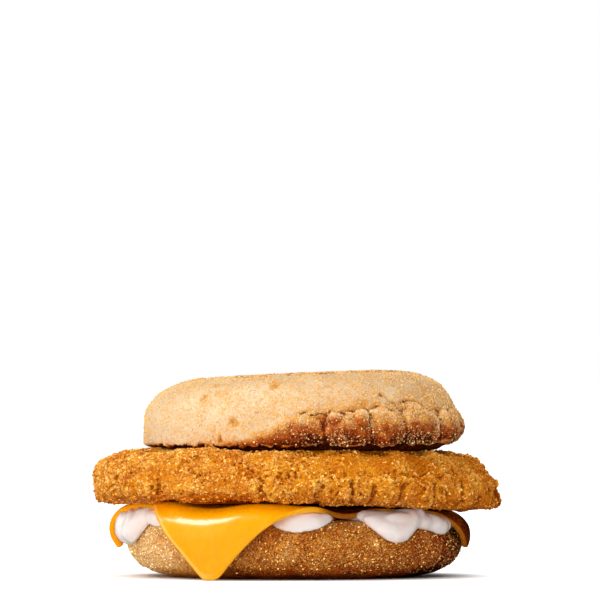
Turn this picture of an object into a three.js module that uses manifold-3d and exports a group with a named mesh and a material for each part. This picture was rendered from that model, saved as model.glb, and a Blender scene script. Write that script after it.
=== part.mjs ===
// A breakfast sandwich: a split muffin holding a breaded patty, a draped cheese slice
// and squeezed-out sauce.
// Millimetres, +Z up. The origin is the middle of the flat foot under the lower muffin half.
// The front, which shows the hanging corner of cheese, faces -Y.
// A turn is an angle in degrees round the upright axis, from the front towards +X.
import * as THREE from "three";
import Module from "manifold-3d";

// Sizes that drive the rest
const SLICE_THICKNESS = 1.5; // cheese
const CONTACT_GAP = 0.35; // clearance between pieces that lie on each other
const FULL_TURN = 360;

const heel = {
  footRadius: 33,
  footSquareness: 1.9, // exponent of the curve from the foot to the rim
  rimRadius: 47.1,
  rimHeight: 9.8,
  topRadius: 41,
  topHeight: 16.6,
  lean: -0.025, // rise of the cut face for each millimetre towards +X
  wobble: { depth: 0.5, lobes: 1.7, seed: 5 },
  steps: 60,
  // Rings as shares of the curve up to the rim and of the one from the rim to the cut face
  sideRings: [0.3, 0.52, 0.76, 1],
  faceRings: [0.3, 0.6, 0.82, 1],
};

// The patty and the cheese under it tip down towards +X, and lie level on the other side.
const tip = { slope: -0.045, ease: 10 };

const slice = {
  topHeight: 20.6,
  bendStart: { front: 45, right: 41.7, back: 42.5, left: 44 },
  bendRadius: { front: 8, right: 7.6, back: 8, left: 8.3 },
  bendTurn: { front: 92, right: 94, back: 96, left: 112 }, // 90 hangs straight down
  // Reach is measured along the slice, from its middle to a corner. Blunt is where the corner is cut off.
  // Before and after are exponents: the larger, the more hollow the side is there.
  corners: [
    { turn: -26, reach: 71.9, blunt: 69.2, before: 1.36, after: 1.44 },
    { turn: 75, reach: 57.4, blunt: 56.5, before: 3.4, after: 1.5 },
    { turn: 163, reach: 63, blunt: 61.5, before: 1.6, after: 1.6 },
    { turn: 258, reach: 62.8, blunt: 61.8, before: 1.5, after: 2.2 },
  ],
  // Where each side comes nearest to the middle, in the same order: each lies after its corner.
  sides: [
    { turn: 20, reach: 41.6 },
    { turn: 119, reach: 42.5 },
    { turn: 209, reach: 42.8 },
    { turn: 298, reach: 45.3 },
  ],
  // Dips: the first where no sauce holds the front side up, the second down the hanging corner
  sags: [
    { turn: 19.5, halfWidth: 13, from: 28, depth: 1.7 },
    { turn: -31, halfWidth: 16, from: 34, depth: 0.9 },
  ],
  sagFull: 41.6, // distance from the middle where a dip is at its deepest
  stepsPerSpan: 9,
  cornerEase: 1.35, // over 1 packs the turns towards the corners
  rings: [0.42, 0.6, 0.68, 0.75, 0.81, 0.87, 0.93, 0.985],
  edgeRound: 0.28, // how far the cut edge's corners are eased
};

const sauce = {
  reach: 38.5, // of the pool under the cheese
  bare: { turn: 19.5, halfWidth: 15, reach: 25 }, // the spot without sauce
  thickness: 2.2,
  sideGap: 0.3, // more clearance on the lower half's side, where the facets cut its curve
  roundEnd: 3.4, // length over which a lobe's end rounds off
  endThickness: 0.5,
  freeFrom: 2, // it lets go of the cheese from here inside the cheese's edge
  freeFull: 0.5, // and stands free this far past it
  reachBluntness: 0.3, // exponents: the smaller, the broader a lobe's front and back stay
  thicknessBluntness: 0.5,
  stationsFrom: 4, // the stations lie on the last stretch, from this far inside the pool's edge
  stations: [0.22, 0.4, 0.56, 0.7, 0.82, 0.92, 1],
  // Lobes that were squeezed out over the rim
  lobes: [
    { turn: -85, halfWidth: 13, reach: 50.6, thickness: 3.4 },
    { turn: -71, halfWidth: 14, reach: 52.2, thickness: 3.9 },
    { turn: -55, halfWidth: 12, reach: 47.8, thickness: 2.7 },
    { turn: 1, halfWidth: 16, reach: 48.1, thickness: 2.7 },
    { turn: 36, halfWidth: 13, reach: 50.3, thickness: 2.6 },
    { turn: 45, halfWidth: 6, reach: 47, thickness: 4.6 },
    { turn: 59, halfWidth: 15, reach: 48.2, thickness: 3.6 },
    { turn: 108, halfWidth: 14, reach: 50.5, thickness: 3 },
    { turn: 132, halfWidth: 12, reach: 47, thickness: 2.6 },
    { turn: 195, halfWidth: 15, reach: 52, thickness: 3.2 },
    { turn: 219, halfWidth: 13, reach: 48, thickness: 2.8 },
  ],
  lobeStep: 4, // turns lie closer together in a lobe, and closest where its reach changes quickly
  poolStep: 12,
  reachStep: 1.9,
};

const patty = {
  halfWidth: 56.9,
  halfDepth: 53.4,
  bottomHeight: 20.95,
  topHeight: 35.75,
  noseRise: { front: 4.6, right: 4.6, back: 5, left: 4.8 }, // height of the widest line over the bottom
  bottomInset: { front: 8, right: 8.5, back: 8, left: 5.5 },
  topInset: { front: 11, right: 17, back: 13, left: 14 },
  topSquareness: { front: 2.2, right: 1.7, back: 2, left: 2.6 }, // exponent of the curve over the nose
  wobble: { depth: 0.9, lobes: 2.2, seed: 9 },
  steps: 100,
  // Rings as shares of the flat bottom, of the curves under and over the widest line, and of the flat top
  rings: {
    bottom: [0.5, 0.92, 1],
    lower: [0.3, 0.55, 0.78, 1],
    upper: [0.86, 0.72, 0.58, 0.44, 0.3, 0.15, 0],
    top: [0.88, 0.45, 0],
  },
  // Crags of the coating: depth and width of the large and the small ones
  crags: [{ depth: 0.85, width: 5.8 }, { depth: 0.55, width: 2.9 }],
  cragSeed: 21,
  // Radius of the parts that are pressed flat, over the cheese and under the crown
  pressed: { below: 45.5, above: 43.4, fade: 4.5 },
};

const crown = {
  centreX: 2.4,
  radius: 45.1,
  bottomHeight: 36.1,
  wallHeight: { front: 44, right: 42, back: 44, left: 42 },
  topHeight: 56.6,
  topLean: 0.045,
  shoulder: { front: 19, right: 23, back: 20, left: 22 },
  squareness: { front: 2.3, right: 2, back: 2.2, left: 2.4 },
  undercut: { front: 1.2, right: 3.4, back: 1.4, left: 0.1 },
  footRound: 0.9,
  wobble: { depth: 0.55, lobes: 1.6, seed: 3 },
  // Rings as shares of the flat foot, of the wall, of the curve over the shoulder and of the top
  rings: {
    foot: 0.55,
    wall: [0.12, 0.34, 0.56, 0.78, 1],
    shoulder: [0.88, 0.74, 0.6, 0.45, 0.3, 0.15],
    top: [1, 0.5, 0],
  },
  // Browned bulges under the crack, on the right of the front
  bulges: [
    { turn: 3, height: 39.5, halfTurn: 6.5, halfHeight: 4.5, swell: 0.7 },
    { turn: 16, height: 40.3, halfTurn: 8, halfHeight: 5.2, swell: 1.5 },
    { turn: 30, height: 41.2, halfTurn: 7, halfHeight: 5.6, swell: 1.7 },
    { turn: 45, height: 41.4, halfTurn: 7, halfHeight: 5.4, swell: 1.4 },
    { turn: 61, height: 40.8, halfTurn: 6, halfHeight: 4.6, swell: 1.1 },
    { turn: 75, height: 41.5, halfTurn: 6, halfHeight: 4.5, swell: 0.9 },
  ],
  bulgeSpread: 1.35, // how far a bulge runs out past its half sizes
  crack: { height: 46.2, halfHeight: 1.3, depth: 0.9, from: 2, to: 78, runOut: 8 }, // from and to are turns
  crust: [{ depth: 0.35, width: 9 }, { depth: 0.16, width: 4 }],
  crustSeed: 33,
  facesDown: -0.5, // upward part of the normal, under which a point belongs to the flat underside
  sideFrom: 38, // radius where the top ends and the side's relief begins
  sideFull: 42,
  // The stretch of turns that has the bulges takes finer steps.
  fine: { from: -6, to: 82, step: 2.75 },
  plainStep: 6.6,
};

const radians = THREE.MathUtils.degToRad;

// Repeatable noise from -1 to 1: random values on a cubic lattice, blended smoothly.
const hashPrimes = [374761393, 668265263, 2147483647, 1274126177];
const mostHash = 2 ** 32 - 1;

function latticeValue(...keys) {
  let hash = keys.reduce((sum, key, n) => sum + Math.imul(key, hashPrimes[n]), 0);
  hash = Math.imul(hash ^ (hash >>> 13), hashPrimes[3]);
  return (((hash ^ (hash >>> 16)) >>> 0) / mostHash) * 2 - 1;
}

function noise(x, y, z, seed) {
  const cell = [x, y, z].map(Math.floor);
  const blend = [x, y, z].map((v, n) => THREE.MathUtils.smoothstep(v - cell[n], 0, 1));
  let sum = 0;
  for (let corner = 0; corner < 8; corner++) {
    const step = [corner & 1, (corner >> 1) & 1, (corner >> 2) & 1];
    const weight = step.reduce((w, s, n) => w * (s ? blend[n] : 1 - blend[n]), 1);
    sum += weight * latticeValue(cell[0] + step[0], cell[1] + step[1], cell[2] + step[2], seed);
  }
  return sum;
}

// Noise of several depths and widths at a point.
function relief(layers, point, seed) {
  return layers.reduce((sum, { depth, width }, n) => {
    return sum + depth * noise(point.x / width, point.y / width, point.z / width, seed + n);
  }, 0);
}

// A change of radius with the turn, which comes round to where it began.
function radiusWobble(turn, { depth, lobes, seed }) {
  const around = placed(turn, lobes, 0);
  return depth * noise(around.x + seed, around.y, seed / 2, seed);
}

// A size given for the four sides, blended smoothly round the turn.
function blended(size, turn) {
  const a = radians(turn);
  const [c, s] = [Math.cos(a), Math.sin(a)];
  const [towardsX, towardsY] = [s > 0 ? size.right : size.left, c > 0 ? size.front : size.back];
  return c * c * towardsY + s * s * towardsX;
}

function bump(distance, halfWidth) {
  const t = Math.min(1, Math.abs(distance) / halfWidth);
  return (1 - t * t) ** 2;
}

function turnBetween(a, b) {
  return ((((a - b) % FULL_TURN) + FULL_TURN * 1.5) % FULL_TURN) - FULL_TURN / 2;
}

function placed(turn, radius, height, centreX = 0) {
  const a = radians(turn);
  return new THREE.Vector3(centreX + radius * Math.sin(a), -radius * Math.cos(a), height);
}

function evenTurns(steps) {
  return Array.from({ length: steps }, (_, n) => (n * FULL_TURN) / steps);
}

// The closed solid of a profile that changes with the turn. profileAt gives points from the lowest,
// on the axis, out and up to the highest, on the axis.
function roundSolid(turns, profileAt) {
  const profiles = turns.map(profileAt);
  const inner = profiles[0].length - 2;
  const points = [profiles[0][0]];
  for (let ring = 1; ring <= inner; ring++) for (const profile of profiles) points.push(profile[ring]);
  points.push(profiles[0][inner + 1]);
  const last = points.length - 1;
  const at = (ring, n) => 1 + ring * turns.length + (n % turns.length);
  const faces = [];
  for (let n = 0; n < turns.length; n++) {
    faces.push(0, at(0, n + 1), at(0, n));
    for (let ring = 0; ring < inner - 1; ring++) {
      const [a, b, c, d] = [at(ring, n), at(ring, n + 1), at(ring + 1, n + 1), at(ring + 1, n)];
      const split = points[a].distanceTo(points[c]) < points[b].distanceTo(points[d]);
      faces.push(...(split ? [a, b, c, a, c, d] : [a, b, d, b, c, d]));
    }
    faces.push(at(inner - 1, n), at(inner - 1, n + 1), last);
  }
  const geometry = new THREE.BufferGeometry().setFromPoints(points);
  geometry.setIndex(faces);
  geometry.computeVertexNormals();
  return geometry;
}

const manifold = await Module();
manifold.setup();

function solidOf(geometry) {
  return new manifold.Manifold(new manifold.Mesh({
    numProp: 3,
    vertProperties: new Float32Array(geometry.getAttribute("position").array),
    triVerts: new Uint32Array(geometry.index.array),
  }));
}

function geometryOf(solid) {
  const mesh = solid.getMesh();
  const geometry = new THREE.BufferGeometry();
  geometry.setAttribute("position", new THREE.BufferAttribute(mesh.vertProperties, 3));
  geometry.setIndex(Array.from(mesh.triVerts));
  geometry.computeVertexNormals();
  return geometry;
}

// Moves each point along its normal by offsetAt(point, normal).
function roughen(geometry, offsetAt) {
  const position = geometry.getAttribute("position");
  const normal = geometry.getAttribute("normal");
  const point = new THREE.Vector3();
  const out = new THREE.Vector3();
  for (let n = 0; n < position.count; n++) {
    point.fromBufferAttribute(position, n);
    out.fromBufferAttribute(normal, n);
    point.addScaledVector(out, offsetAt(point, out));
    position.setXYZ(n, point.x, point.y, point.z);
  }
  geometry.computeVertexNormals();
  return geometry;
}

// A curve from (0, 0) to (width, height) that starts level or upright, as a rounded corner does.
function corner(width, height, squareness, share) {
  const a = (share * Math.PI) / 2;
  return [width * Math.sin(a) ** (2 / squareness), height * (1 - Math.cos(a) ** (2 / squareness))];
}

function tipped(x) {
  return (tip.slope / 2) * (x + Math.hypot(x, tip.ease));
}

// Lower muffin half
function heelTop(x) {
  return heel.topHeight + heel.lean * x;
}

function heelRim(turn) {
  return heel.rimRadius + radiusWobble(turn, heel.wobble);
}

function heelProfile(turn) {
  const rim = heelRim(turn);
  const points = [placed(turn, 0, 0), placed(turn, heel.footRadius, 0)];
  for (const share of heel.sideRings) {
    const [out, up] = corner(rim - heel.footRadius, heel.rimHeight, heel.footSquareness, share);
    points.push(placed(turn, heel.footRadius + out, up));
  }
  for (const share of heel.faceRings) {
    const angle = (share * Math.PI) / 2;
    const edge = placed(turn, heel.topRadius + (rim - heel.topRadius) * Math.cos(angle), 0);
    points.push(edge.setZ(heel.rimHeight + (heelTop(edge.x) - heel.rimHeight) * Math.sin(angle)));
  }
  const inner = placed(turn, heel.topRadius / 2, 0);
  points.push(inner.setZ(heelTop(inner.x)), placed(turn, 0, heelTop(0)));
  return points;
}

// The point and the outward normal at a distance along the lower half's cut face and then down its side.
function heelSurface(turn, distance) {
  const outward = placed(turn, 1, 0);
  if (distance <= heel.topRadius) {
    const point = placed(turn, distance, 0);
    return { point: point.setZ(heelTop(point.x)), normal: new THREE.Vector3(0, 0, 1) };
  }
  const wide = heelRim(turn) - heel.topRadius;
  const high = heelTop(heel.topRadius * outward.x) - heel.rimHeight;
  const along = (distance - heel.topRadius) / ((wide + high) / 2);
  const angle = Math.min(along, Math.PI / 2);
  const below = Math.max(0, along - Math.PI / 2) * high;
  const point = placed(turn, heel.topRadius + wide * Math.sin(angle), 0);
  point.setZ(heel.rimHeight + high * Math.cos(angle) - below);
  const normal = outward.multiplyScalar(high * Math.sin(angle)).setZ(wide * Math.cos(angle)).normalize();
  return { point, normal };
}

// Cheese slice
function sliceReach(turn) {
  const { corners, sides } = slice;
  for (let n = 0; n < corners.length; n++) {
    const [here, side, next] = [corners[n], sides[n], corners[(n + 1) % corners.length]];
    const past = (turn - here.turn + FULL_TURN * 2) % FULL_TURN;
    const toSide = (side.turn - here.turn + FULL_TURN) % FULL_TURN;
    const toNext = (next.turn - here.turn + FULL_TURN) % FULL_TURN;
    if (past < toSide) {
      const share = 1 - past / toSide;
      return Math.min(here.blunt, side.reach + (here.reach - side.reach) * share ** here.after);
    }
    if (past < toNext) {
      const share = (past - toSide) / (toNext - toSide);
      return Math.min(next.blunt, side.reach + (next.reach - side.reach) * share ** next.before);
    }
  }
}

// The point at a distance along the slice's upper face, depth under that face.
function slicePoint(turn, distance, depth) {
  const [start, radius] = [blended(slice.bendStart, turn), blended(slice.bendRadius, turn)];
  const fullBend = radians(blended(slice.bendTurn, turn));
  const bend = Math.min(Math.max(0, (distance - start) / radius), fullBend);
  const straight = Math.max(0, distance - start - radius * fullBend);
  const out = Math.min(distance, start) + radius * Math.sin(bend) + straight * Math.cos(bend);
  const down = radius * (1 - Math.cos(bend)) + straight * Math.sin(bend);
  const point = placed(turn, out - depth * Math.sin(bend), 0);
  const drop = slice.sags.reduce((sum, sag) => {
    const sagging = sag.depth * bump(turnBetween(turn, sag.turn), sag.halfWidth);
    return sum + sagging * THREE.MathUtils.smoothstep(distance, sag.from, slice.sagFull);
  }, 0);
  return point.setZ(slice.topHeight + tipped(point.x) - down - drop - depth * Math.cos(bend));
}

function sliceTurns() {
  const turns = [];
  slice.corners.forEach((here, n) => {
    const side = slice.sides[n].turn;
    const next = slice.corners[(n + 1) % slice.corners.length].turn;
    const away = (side - here.turn + FULL_TURN) % FULL_TURN;
    const back = (next - side + FULL_TURN) % FULL_TURN;
    const shares = Array.from({ length: slice.stepsPerSpan }, (_, step) => step / slice.stepsPerSpan);
    for (const share of shares) turns.push(here.turn + away * share ** slice.cornerEase);
    for (const share of shares) turns.push(side + back * (1 - (1 - share) ** slice.cornerEase));
  });
  return turns;
}

function sliceProfile(turn) {
  const reach = sliceReach(turn);
  const faceAt = (depth) => [0, ...slice.rings].map((share) => slicePoint(turn, share * reach, depth));
  return [
    ...faceAt(SLICE_THICKNESS),
    slicePoint(turn, reach, SLICE_THICKNESS - slice.edgeRound),
    slicePoint(turn, reach, slice.edgeRound),
    ...faceAt(0).reverse(),
  ];
}

// Sauce
// The lobes' reach and thickness at a turn. Where they overlap, the stronger one counts.
function lobeAt(turn) {
  const { bare } = sauce;
  const pool = sauce.reach - (sauce.reach - bare.reach) * bump(turnBetween(turn, bare.turn), bare.halfWidth);
  let [reach, thickness] = [pool, sauce.thickness];
  for (const lobe of sauce.lobes) {
    const share = bump(turnBetween(turn, lobe.turn), lobe.halfWidth);
    if (share === 0) continue;
    const [further, thicker] = [lobe.reach - sauce.reach, lobe.thickness - sauce.thickness];
    reach = Math.max(reach, sauce.reach + further * share ** sauce.reachBluntness);
    thickness = Math.max(thickness, sauce.thickness + thicker * share ** sauce.thicknessBluntness);
  }
  return { reach, thickness };
}

function sauceTurns() {
  const turns = [0];
  for (let turn = 0.5; turn < FULL_TURN - 1; turn += 0.5) {
    const last = turns.at(-1);
    const [reach, before] = [lobeAt(turn).reach, lobeAt(last).reach];
    const widest = reach > sauce.reach ? sauce.lobeStep : sauce.poolStep;
    if (turn - last >= widest || Math.abs(reach - before) >= sauce.reachStep) turns.push(turn);
  }
  return turns;
}

// The sauce's underside, clear of the lower muffin half.
function sauceBase(turn, distance) {
  const { point, normal } = heelSurface(turn, distance);
  const onSide = THREE.MathUtils.smoothstep(distance, sauce.reach, heel.topRadius);
  return { base: point.addScaledVector(normal, CONTACT_GAP + sauce.sideGap * onSide), normal };
}

// Under the cheese the sauce fills the space up to it, and past the cheese's edge it stands free.
function sauceTop(turn, distance, { reach, thickness }) {
  const { base, normal } = sauceBase(turn, distance);
  const edge = sliceReach(turn);
  const left = Math.min(1, (reach - distance) / sauce.roundEnd);
  const fullness = Math.sqrt(1 - (1 - left) ** 2);
  const held = slicePoint(turn, distance, SLICE_THICKNESS / 2);
  held.z = THREE.MathUtils.lerp(base.z, held.z, fullness);
  const free = base.addScaledVector(normal, THREE.MathUtils.lerp(sauce.endThickness, thickness, fullness));
  const past = THREE.MathUtils.smoothstep(distance, edge - sauce.freeFrom, edge + sauce.freeFull);
  return held.lerp(free, past);
}

function sauceProfile(turn) {
  const lobe = lobeAt(turn);
  const inside = Math.min(sauce.reach, lobe.reach) - sauce.stationsFrom;
  const stations = sauce.stations.map((share) => THREE.MathUtils.lerp(inside, lobe.reach, share));
  return [
    sauceBase(turn, 0).base,
    ...[inside / 2, ...stations].map((distance) => sauceBase(turn, distance).base),
    ...stations.map((distance) => sauceTop(turn, distance, lobe)).reverse(),
    slicePoint(turn, inside / 2, SLICE_THICKNESS / 2),
    slicePoint(turn, 0, SLICE_THICKNESS / 2),
  ];
}

// The cheese with its clearance, which the sauce leaves free.
function sliceWithGap(turn) {
  const reach = sliceReach(turn);
  const faceAt = (depth) => [0, ...slice.rings].map((share) => slicePoint(turn, share * reach, depth));
  return [
    ...faceAt(SLICE_THICKNESS + CONTACT_GAP),
    slicePoint(turn, reach + CONTACT_GAP, SLICE_THICKNESS),
    slicePoint(turn, reach + CONTACT_GAP, 0),
    ...faceAt(-CONTACT_GAP).reverse(),
  ];
}

// The sauce less the cheese and the patty, each with its clearance.
// Scraps of it that this leaves are dropped.
function sauceGeometry(pattyGeometry) {
  const cheese = roundSolid(sliceTurns(), sliceWithGap);
  const above = pattyGeometry.clone().translate(0, 0, -CONTACT_GAP);
  const whole = solidOf(roundSolid(sauceTurns(), sauceProfile));
  const bodies = whole.subtract(solidOf(cheese)).subtract(solidOf(above)).decompose();
  return geometryOf(bodies.reduce((most, body) => (body.volume() > most.volume() ? body : most)));
}

// Breaded patty
function pattyBottom(x) {
  return patty.bottomHeight + tipped(x);
}

function pattyRadius(turn) {
  const a = radians(turn);
  const oval = 1 / Math.hypot(Math.sin(a) / patty.halfWidth, Math.cos(a) / patty.halfDepth);
  return oval + radiusWobble(turn, patty.wobble);
}

function pattyProfile(turn) {
  const { rings } = patty;
  const radius = pattyRadius(turn);
  const [rise, square] = [blended(patty.noseRise, turn), blended(patty.topSquareness, turn)];
  const [bottomInset, topInset] = [blended(patty.bottomInset, turn), blended(patty.topInset, turn)];
  const points = [placed(turn, 0, pattyBottom(0))];
  const bottomEdge = radius - bottomInset;
  for (const share of rings.bottom) {
    const point = placed(turn, bottomEdge * share, 0);
    points.push(point.setZ(pattyBottom(point.x)));
  }
  for (const share of rings.lower) {
    const [out, up] = corner(bottomInset, rise, 2, share);
    const point = placed(turn, bottomEdge + out, 0);
    points.push(point.setZ(pattyBottom(point.x) + up));
  }
  const nose = points.at(-1).z;
  for (const share of rings.upper) {
    const [out, down] = corner(topInset, patty.topHeight - nose, square, share);
    points.push(placed(turn, radius - topInset + out, patty.topHeight - down));
  }
  const flat = radius - topInset;
  for (const share of rings.top) points.push(placed(turn, flat * share, patty.topHeight));
  return points;
}

// Crags of the coating. They fade out under the crown and over the cheese, where the patty is pressed flat.
function pattyCrags(point, normal) {
  const { below, above, fade } = patty.pressed;
  const [middle, flat] = normal.z < 0 ? [0, below] : [crown.centreX, above];
  const open = THREE.MathUtils.smoothstep(Math.hypot(point.x - middle, point.y), flat, flat + fade);
  return open * relief(patty.crags, point, patty.cragSeed);
}

// Upper muffin half
function crownTop(x) {
  return crown.topHeight + crown.topLean * (x - crown.centreX);
}

function crownProfile(turn) {
  const { rings } = crown;
  const radius = crown.radius + radiusWobble(turn, crown.wobble);
  const [wall, undercut] = [blended(crown.wallHeight, turn), blended(crown.undercut, turn)];
  const [shoulder, square] = [blended(crown.shoulder, turn), blended(crown.squareness, turn)];
  const foot = crown.bottomHeight;
  const at = (r, z) => placed(turn, r, z, crown.centreX);
  const points = [at(0, foot), at(radius * rings.foot, foot), at(radius - undercut - crown.footRound, foot)];
  for (const share of rings.wall) {
    const inset = undercut * (1 - Math.sin((share * Math.PI) / 2));
    points.push(at(radius - inset, foot + (wall - foot) * share));
  }
  const rim = at(radius, wall);
  for (const share of rings.shoulder) {
    const [out, down] = corner(shoulder, 1, square, share);
    const point = at(radius - shoulder + out, 0);
    points.push(point.setZ(rim.z + (crownTop(point.x) - rim.z) * (1 - down)));
  }
  for (const share of rings.top) {
    const point = at((radius - shoulder) * share, 0);
    points.push(point.setZ(crownTop(point.x)));
  }
  return points;
}

// Bulges, the crack over them and the uneven crust. The underside stays flat.
function crownRelief(point, normal) {
  if (normal.z < crown.facesDown) return 0;
  const turn = THREE.MathUtils.radToDeg(Math.atan2(point.x - crown.centreX, -point.y));
  const swells = crown.bulges.map(({ turn: middle, height, halfTurn, halfHeight, swell }) => {
    const off = Math.hypot(turnBetween(turn, middle) / halfTurn, (point.z - height) / halfHeight);
    return swell * bump(off, crown.bulgeSpread);
  });
  const { crack } = crown;
  const begun = THREE.MathUtils.smoothstep(turn, crack.from, crack.from + crack.runOut);
  const ended = THREE.MathUtils.smoothstep(turn, crack.to - crack.runOut, crack.to);
  const cut = crack.depth * begun * (1 - ended) * bump(point.z - crack.height, crack.halfHeight);
  const fromMiddle = Math.hypot(point.x - crown.centreX, point.y);
  const side = THREE.MathUtils.smoothstep(fromMiddle, crown.sideFrom, crown.sideFull);
  return relief(crown.crust, point, crown.crustSeed) + side * (Math.max(...swells) - cut);
}

function crownTurns() {
  const { fine } = crown;
  const spread = (from, to, step) => {
    const steps = Math.round((to - from) / step);
    return Array.from({ length: steps }, (_, n) => from + (n * (to - from)) / steps);
  };
  const plain = spread(fine.to, fine.from + FULL_TURN, crown.plainStep);
  return [...spread(fine.from, fine.to, fine.step), ...plain];
}

function piece(name, geometry, color, roughness) {
  const material = new THREE.MeshStandardMaterial({ color, roughness, metalness: 0 });
  const mesh = new THREE.Mesh(geometry, material);
  mesh.name = name;
  return mesh;
}

const pattyGeometry = roughen(roundSolid(evenTurns(patty.steps), pattyProfile), pattyCrags);

const sandwich = new THREE.Group();
sandwich.name = "breakfast_sandwich";
sandwich.add(
  piece("muffin_heel", roundSolid(evenTurns(heel.steps), heelProfile), 0xc68a45, 0.85),
  piece("sauce", sauceGeometry(pattyGeometry), 0xefe6de, 0.3),
  piece("cheese_slice", roundSolid(sliceTurns(), sliceProfile), 0xfbb012, 0.35),
  piece("chicken_patty", pattyGeometry, 0xc9842a, 0.7),
  piece("muffin_crown", roughen(roundSolid(crownTurns(), crownProfile), crownRelief), 0xe8c590, 0.85),
);

export default sandwich;
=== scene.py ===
import math
from itertools import product

import bmesh
import bpy
import numpy as np
from mathutils import Matrix, Vector
from mathutils.bvhtree import BVHTree


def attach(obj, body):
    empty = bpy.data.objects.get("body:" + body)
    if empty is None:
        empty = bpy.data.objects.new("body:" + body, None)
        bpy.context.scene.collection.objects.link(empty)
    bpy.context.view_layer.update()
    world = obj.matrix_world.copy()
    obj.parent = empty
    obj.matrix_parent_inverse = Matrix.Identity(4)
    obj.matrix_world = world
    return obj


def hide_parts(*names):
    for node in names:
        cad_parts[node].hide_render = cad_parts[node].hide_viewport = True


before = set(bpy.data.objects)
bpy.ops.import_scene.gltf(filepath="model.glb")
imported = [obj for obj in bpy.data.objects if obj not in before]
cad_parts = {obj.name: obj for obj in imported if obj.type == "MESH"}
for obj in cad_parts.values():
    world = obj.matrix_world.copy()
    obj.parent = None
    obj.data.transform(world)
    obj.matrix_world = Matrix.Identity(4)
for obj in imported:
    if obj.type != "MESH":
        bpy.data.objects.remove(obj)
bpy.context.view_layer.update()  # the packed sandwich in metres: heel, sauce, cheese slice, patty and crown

mm = 0.001
dice = np.random.default_rng(4021)

# Turns are degrees round the upright axis, from the front (-Y) towards +X.
# A skin is a grid of rings, from the lowest up, by turns, by x y z.


def ramp(values, start, end):
    share = np.clip((np.asarray(values, dtype=float) - start) / (end - start), 0, 1)
    return share * share * (3 - 2 * share)


# One inside two softened ends, zero outside them
def window(values, opens, opened, closes, closed):
    return ramp(values, opens, opened) * (1 - ramp(values, closes, closed))


# Sum of amounts that come in as the values go from a start to an end
def trends(values, amounts):
    return sum(amount * ramp(values, start, end) for amount, start, end in amounts)


def hump(distance, halfWidth):
    share = np.clip(np.abs(distance) / halfWidth, 0, 1)
    return (1 - share**2) ** 2


# Numbers from 0 to 1, always the same for the same cell, seed and channel
def cellDice(cells, seed, channel=0):
    keys = cells.astype(np.int64)
    mixed = keys[..., 0] * 73856093 ^ keys[..., 1] * 19349663 ^ keys[..., 2] * 83492791
    mixed = (mixed ^ (seed * 97 + channel) * 2654435761) & 0xFFFFFFFF
    mixed = ((mixed ^ (mixed >> 15)) * 2246822519) & 0xFFFFFFFF
    mixed = ((mixed ^ (mixed >> 13)) * 3266489917) & 0xFFFFFFFF
    return (mixed ^ (mixed >> 16)) / 0xFFFFFFFF


# Smooth noise from about -1 to 1 whose features are as wide as given
def softNoise(points, width, seed):
    scaled = points / width
    cell = np.floor(scaled)
    share = scaled - cell
    ease = share**3 * (share * (share * 6 - 15) + 10)
    total = np.zeros(points.shape[:-1])
    for corner in product((0, 1), repeat=3):
        step = np.array(corner)
        weight = np.where(step == 1, ease, 1 - ease).prod(axis=-1)
        slope = np.stack([cellDice(cell + step, seed, axis) * 2 - 1 for axis in range(3)], axis=-1)
        total += weight * ((share - step) * slope).sum(axis=-1)
    return total * 1.7


# Noise of the given width, depth and seed
def noiseOf(points, layer):
    width, depth, seed = layer
    return depth * softNoise(points, width, seed)


# Patches from 0 to 1 of a width and seed, with the noise where they begin and where they are full
def patchesOf(points, layer):
    width, seed, begins, full = layer
    return ramp(softNoise(points, width, seed), begins, full)


# Wiggly ridges, where the noise passes through zero
def ridgesOf(points, layer, sharpness):
    width, depth, seed = layer
    flank = np.abs(softNoise(points, width, seed)) / sharpness
    return depth * np.clip(1 - flank, 0, 1)


# Scattered centres, one for each cell: how many cell widths away the nearest is, and its own number
def crumbCells(points, width, seed):
    scaled = points / width
    cell = np.floor(scaled)
    nearest = np.full(points.shape[:-1], 9.0)
    own = np.zeros(points.shape[:-1])
    for corner in product((-1, 0, 1), repeat=3):
        there = cell + np.array(corner)
        centre = there + np.stack([cellDice(there, seed, axis) for axis in range(3)], axis=-1)
        distance = np.linalg.norm(scaled - centre, axis=-1)
        closer = distance < nearest
        own = np.where(closer, cellDice(there, seed, 3), own)
        nearest = np.where(closer, distance, nearest)
    return nearest, own


# Rounded mounds on scattered centres, each with its own height
def moundsOf(points, layer, least, reach):
    width, depth, seed = layer
    nearest, own = crumbCells(points, width, seed)
    return depth * (least + (1 - least) * own) * np.clip(1 - (nearest / reach) ** 2, 0, 1)


# Turns that lie closer together at the front
def turnsRound(count, frontCrowding):
    even = np.arange(count) / count
    return 360 * even - frontCrowding * np.degrees(np.sin(even * math.tau))


def turnAndRadius(points, centreX=0.0):
    x, y = points[..., 0] - centreX, points[..., 1]
    return np.degrees(np.arctan2(x, -y)), np.hypot(x, y)


# How many degrees each turn is from the given one, the short way round
def turnsFrom(turn, where):
    return (turn - where + 180) % 360 - 180


# Fuller and leaner places, listed as turn, height in mm, half of each, and how many mm out or in
def fullness(turn, height, places):
    return sum(
        swell * mm * hump(turn - where, halfTurn) * hump(height / mm - level, halfHeight)
        for where, level, halfTurn, halfHeight, swell in places
    )


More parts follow.
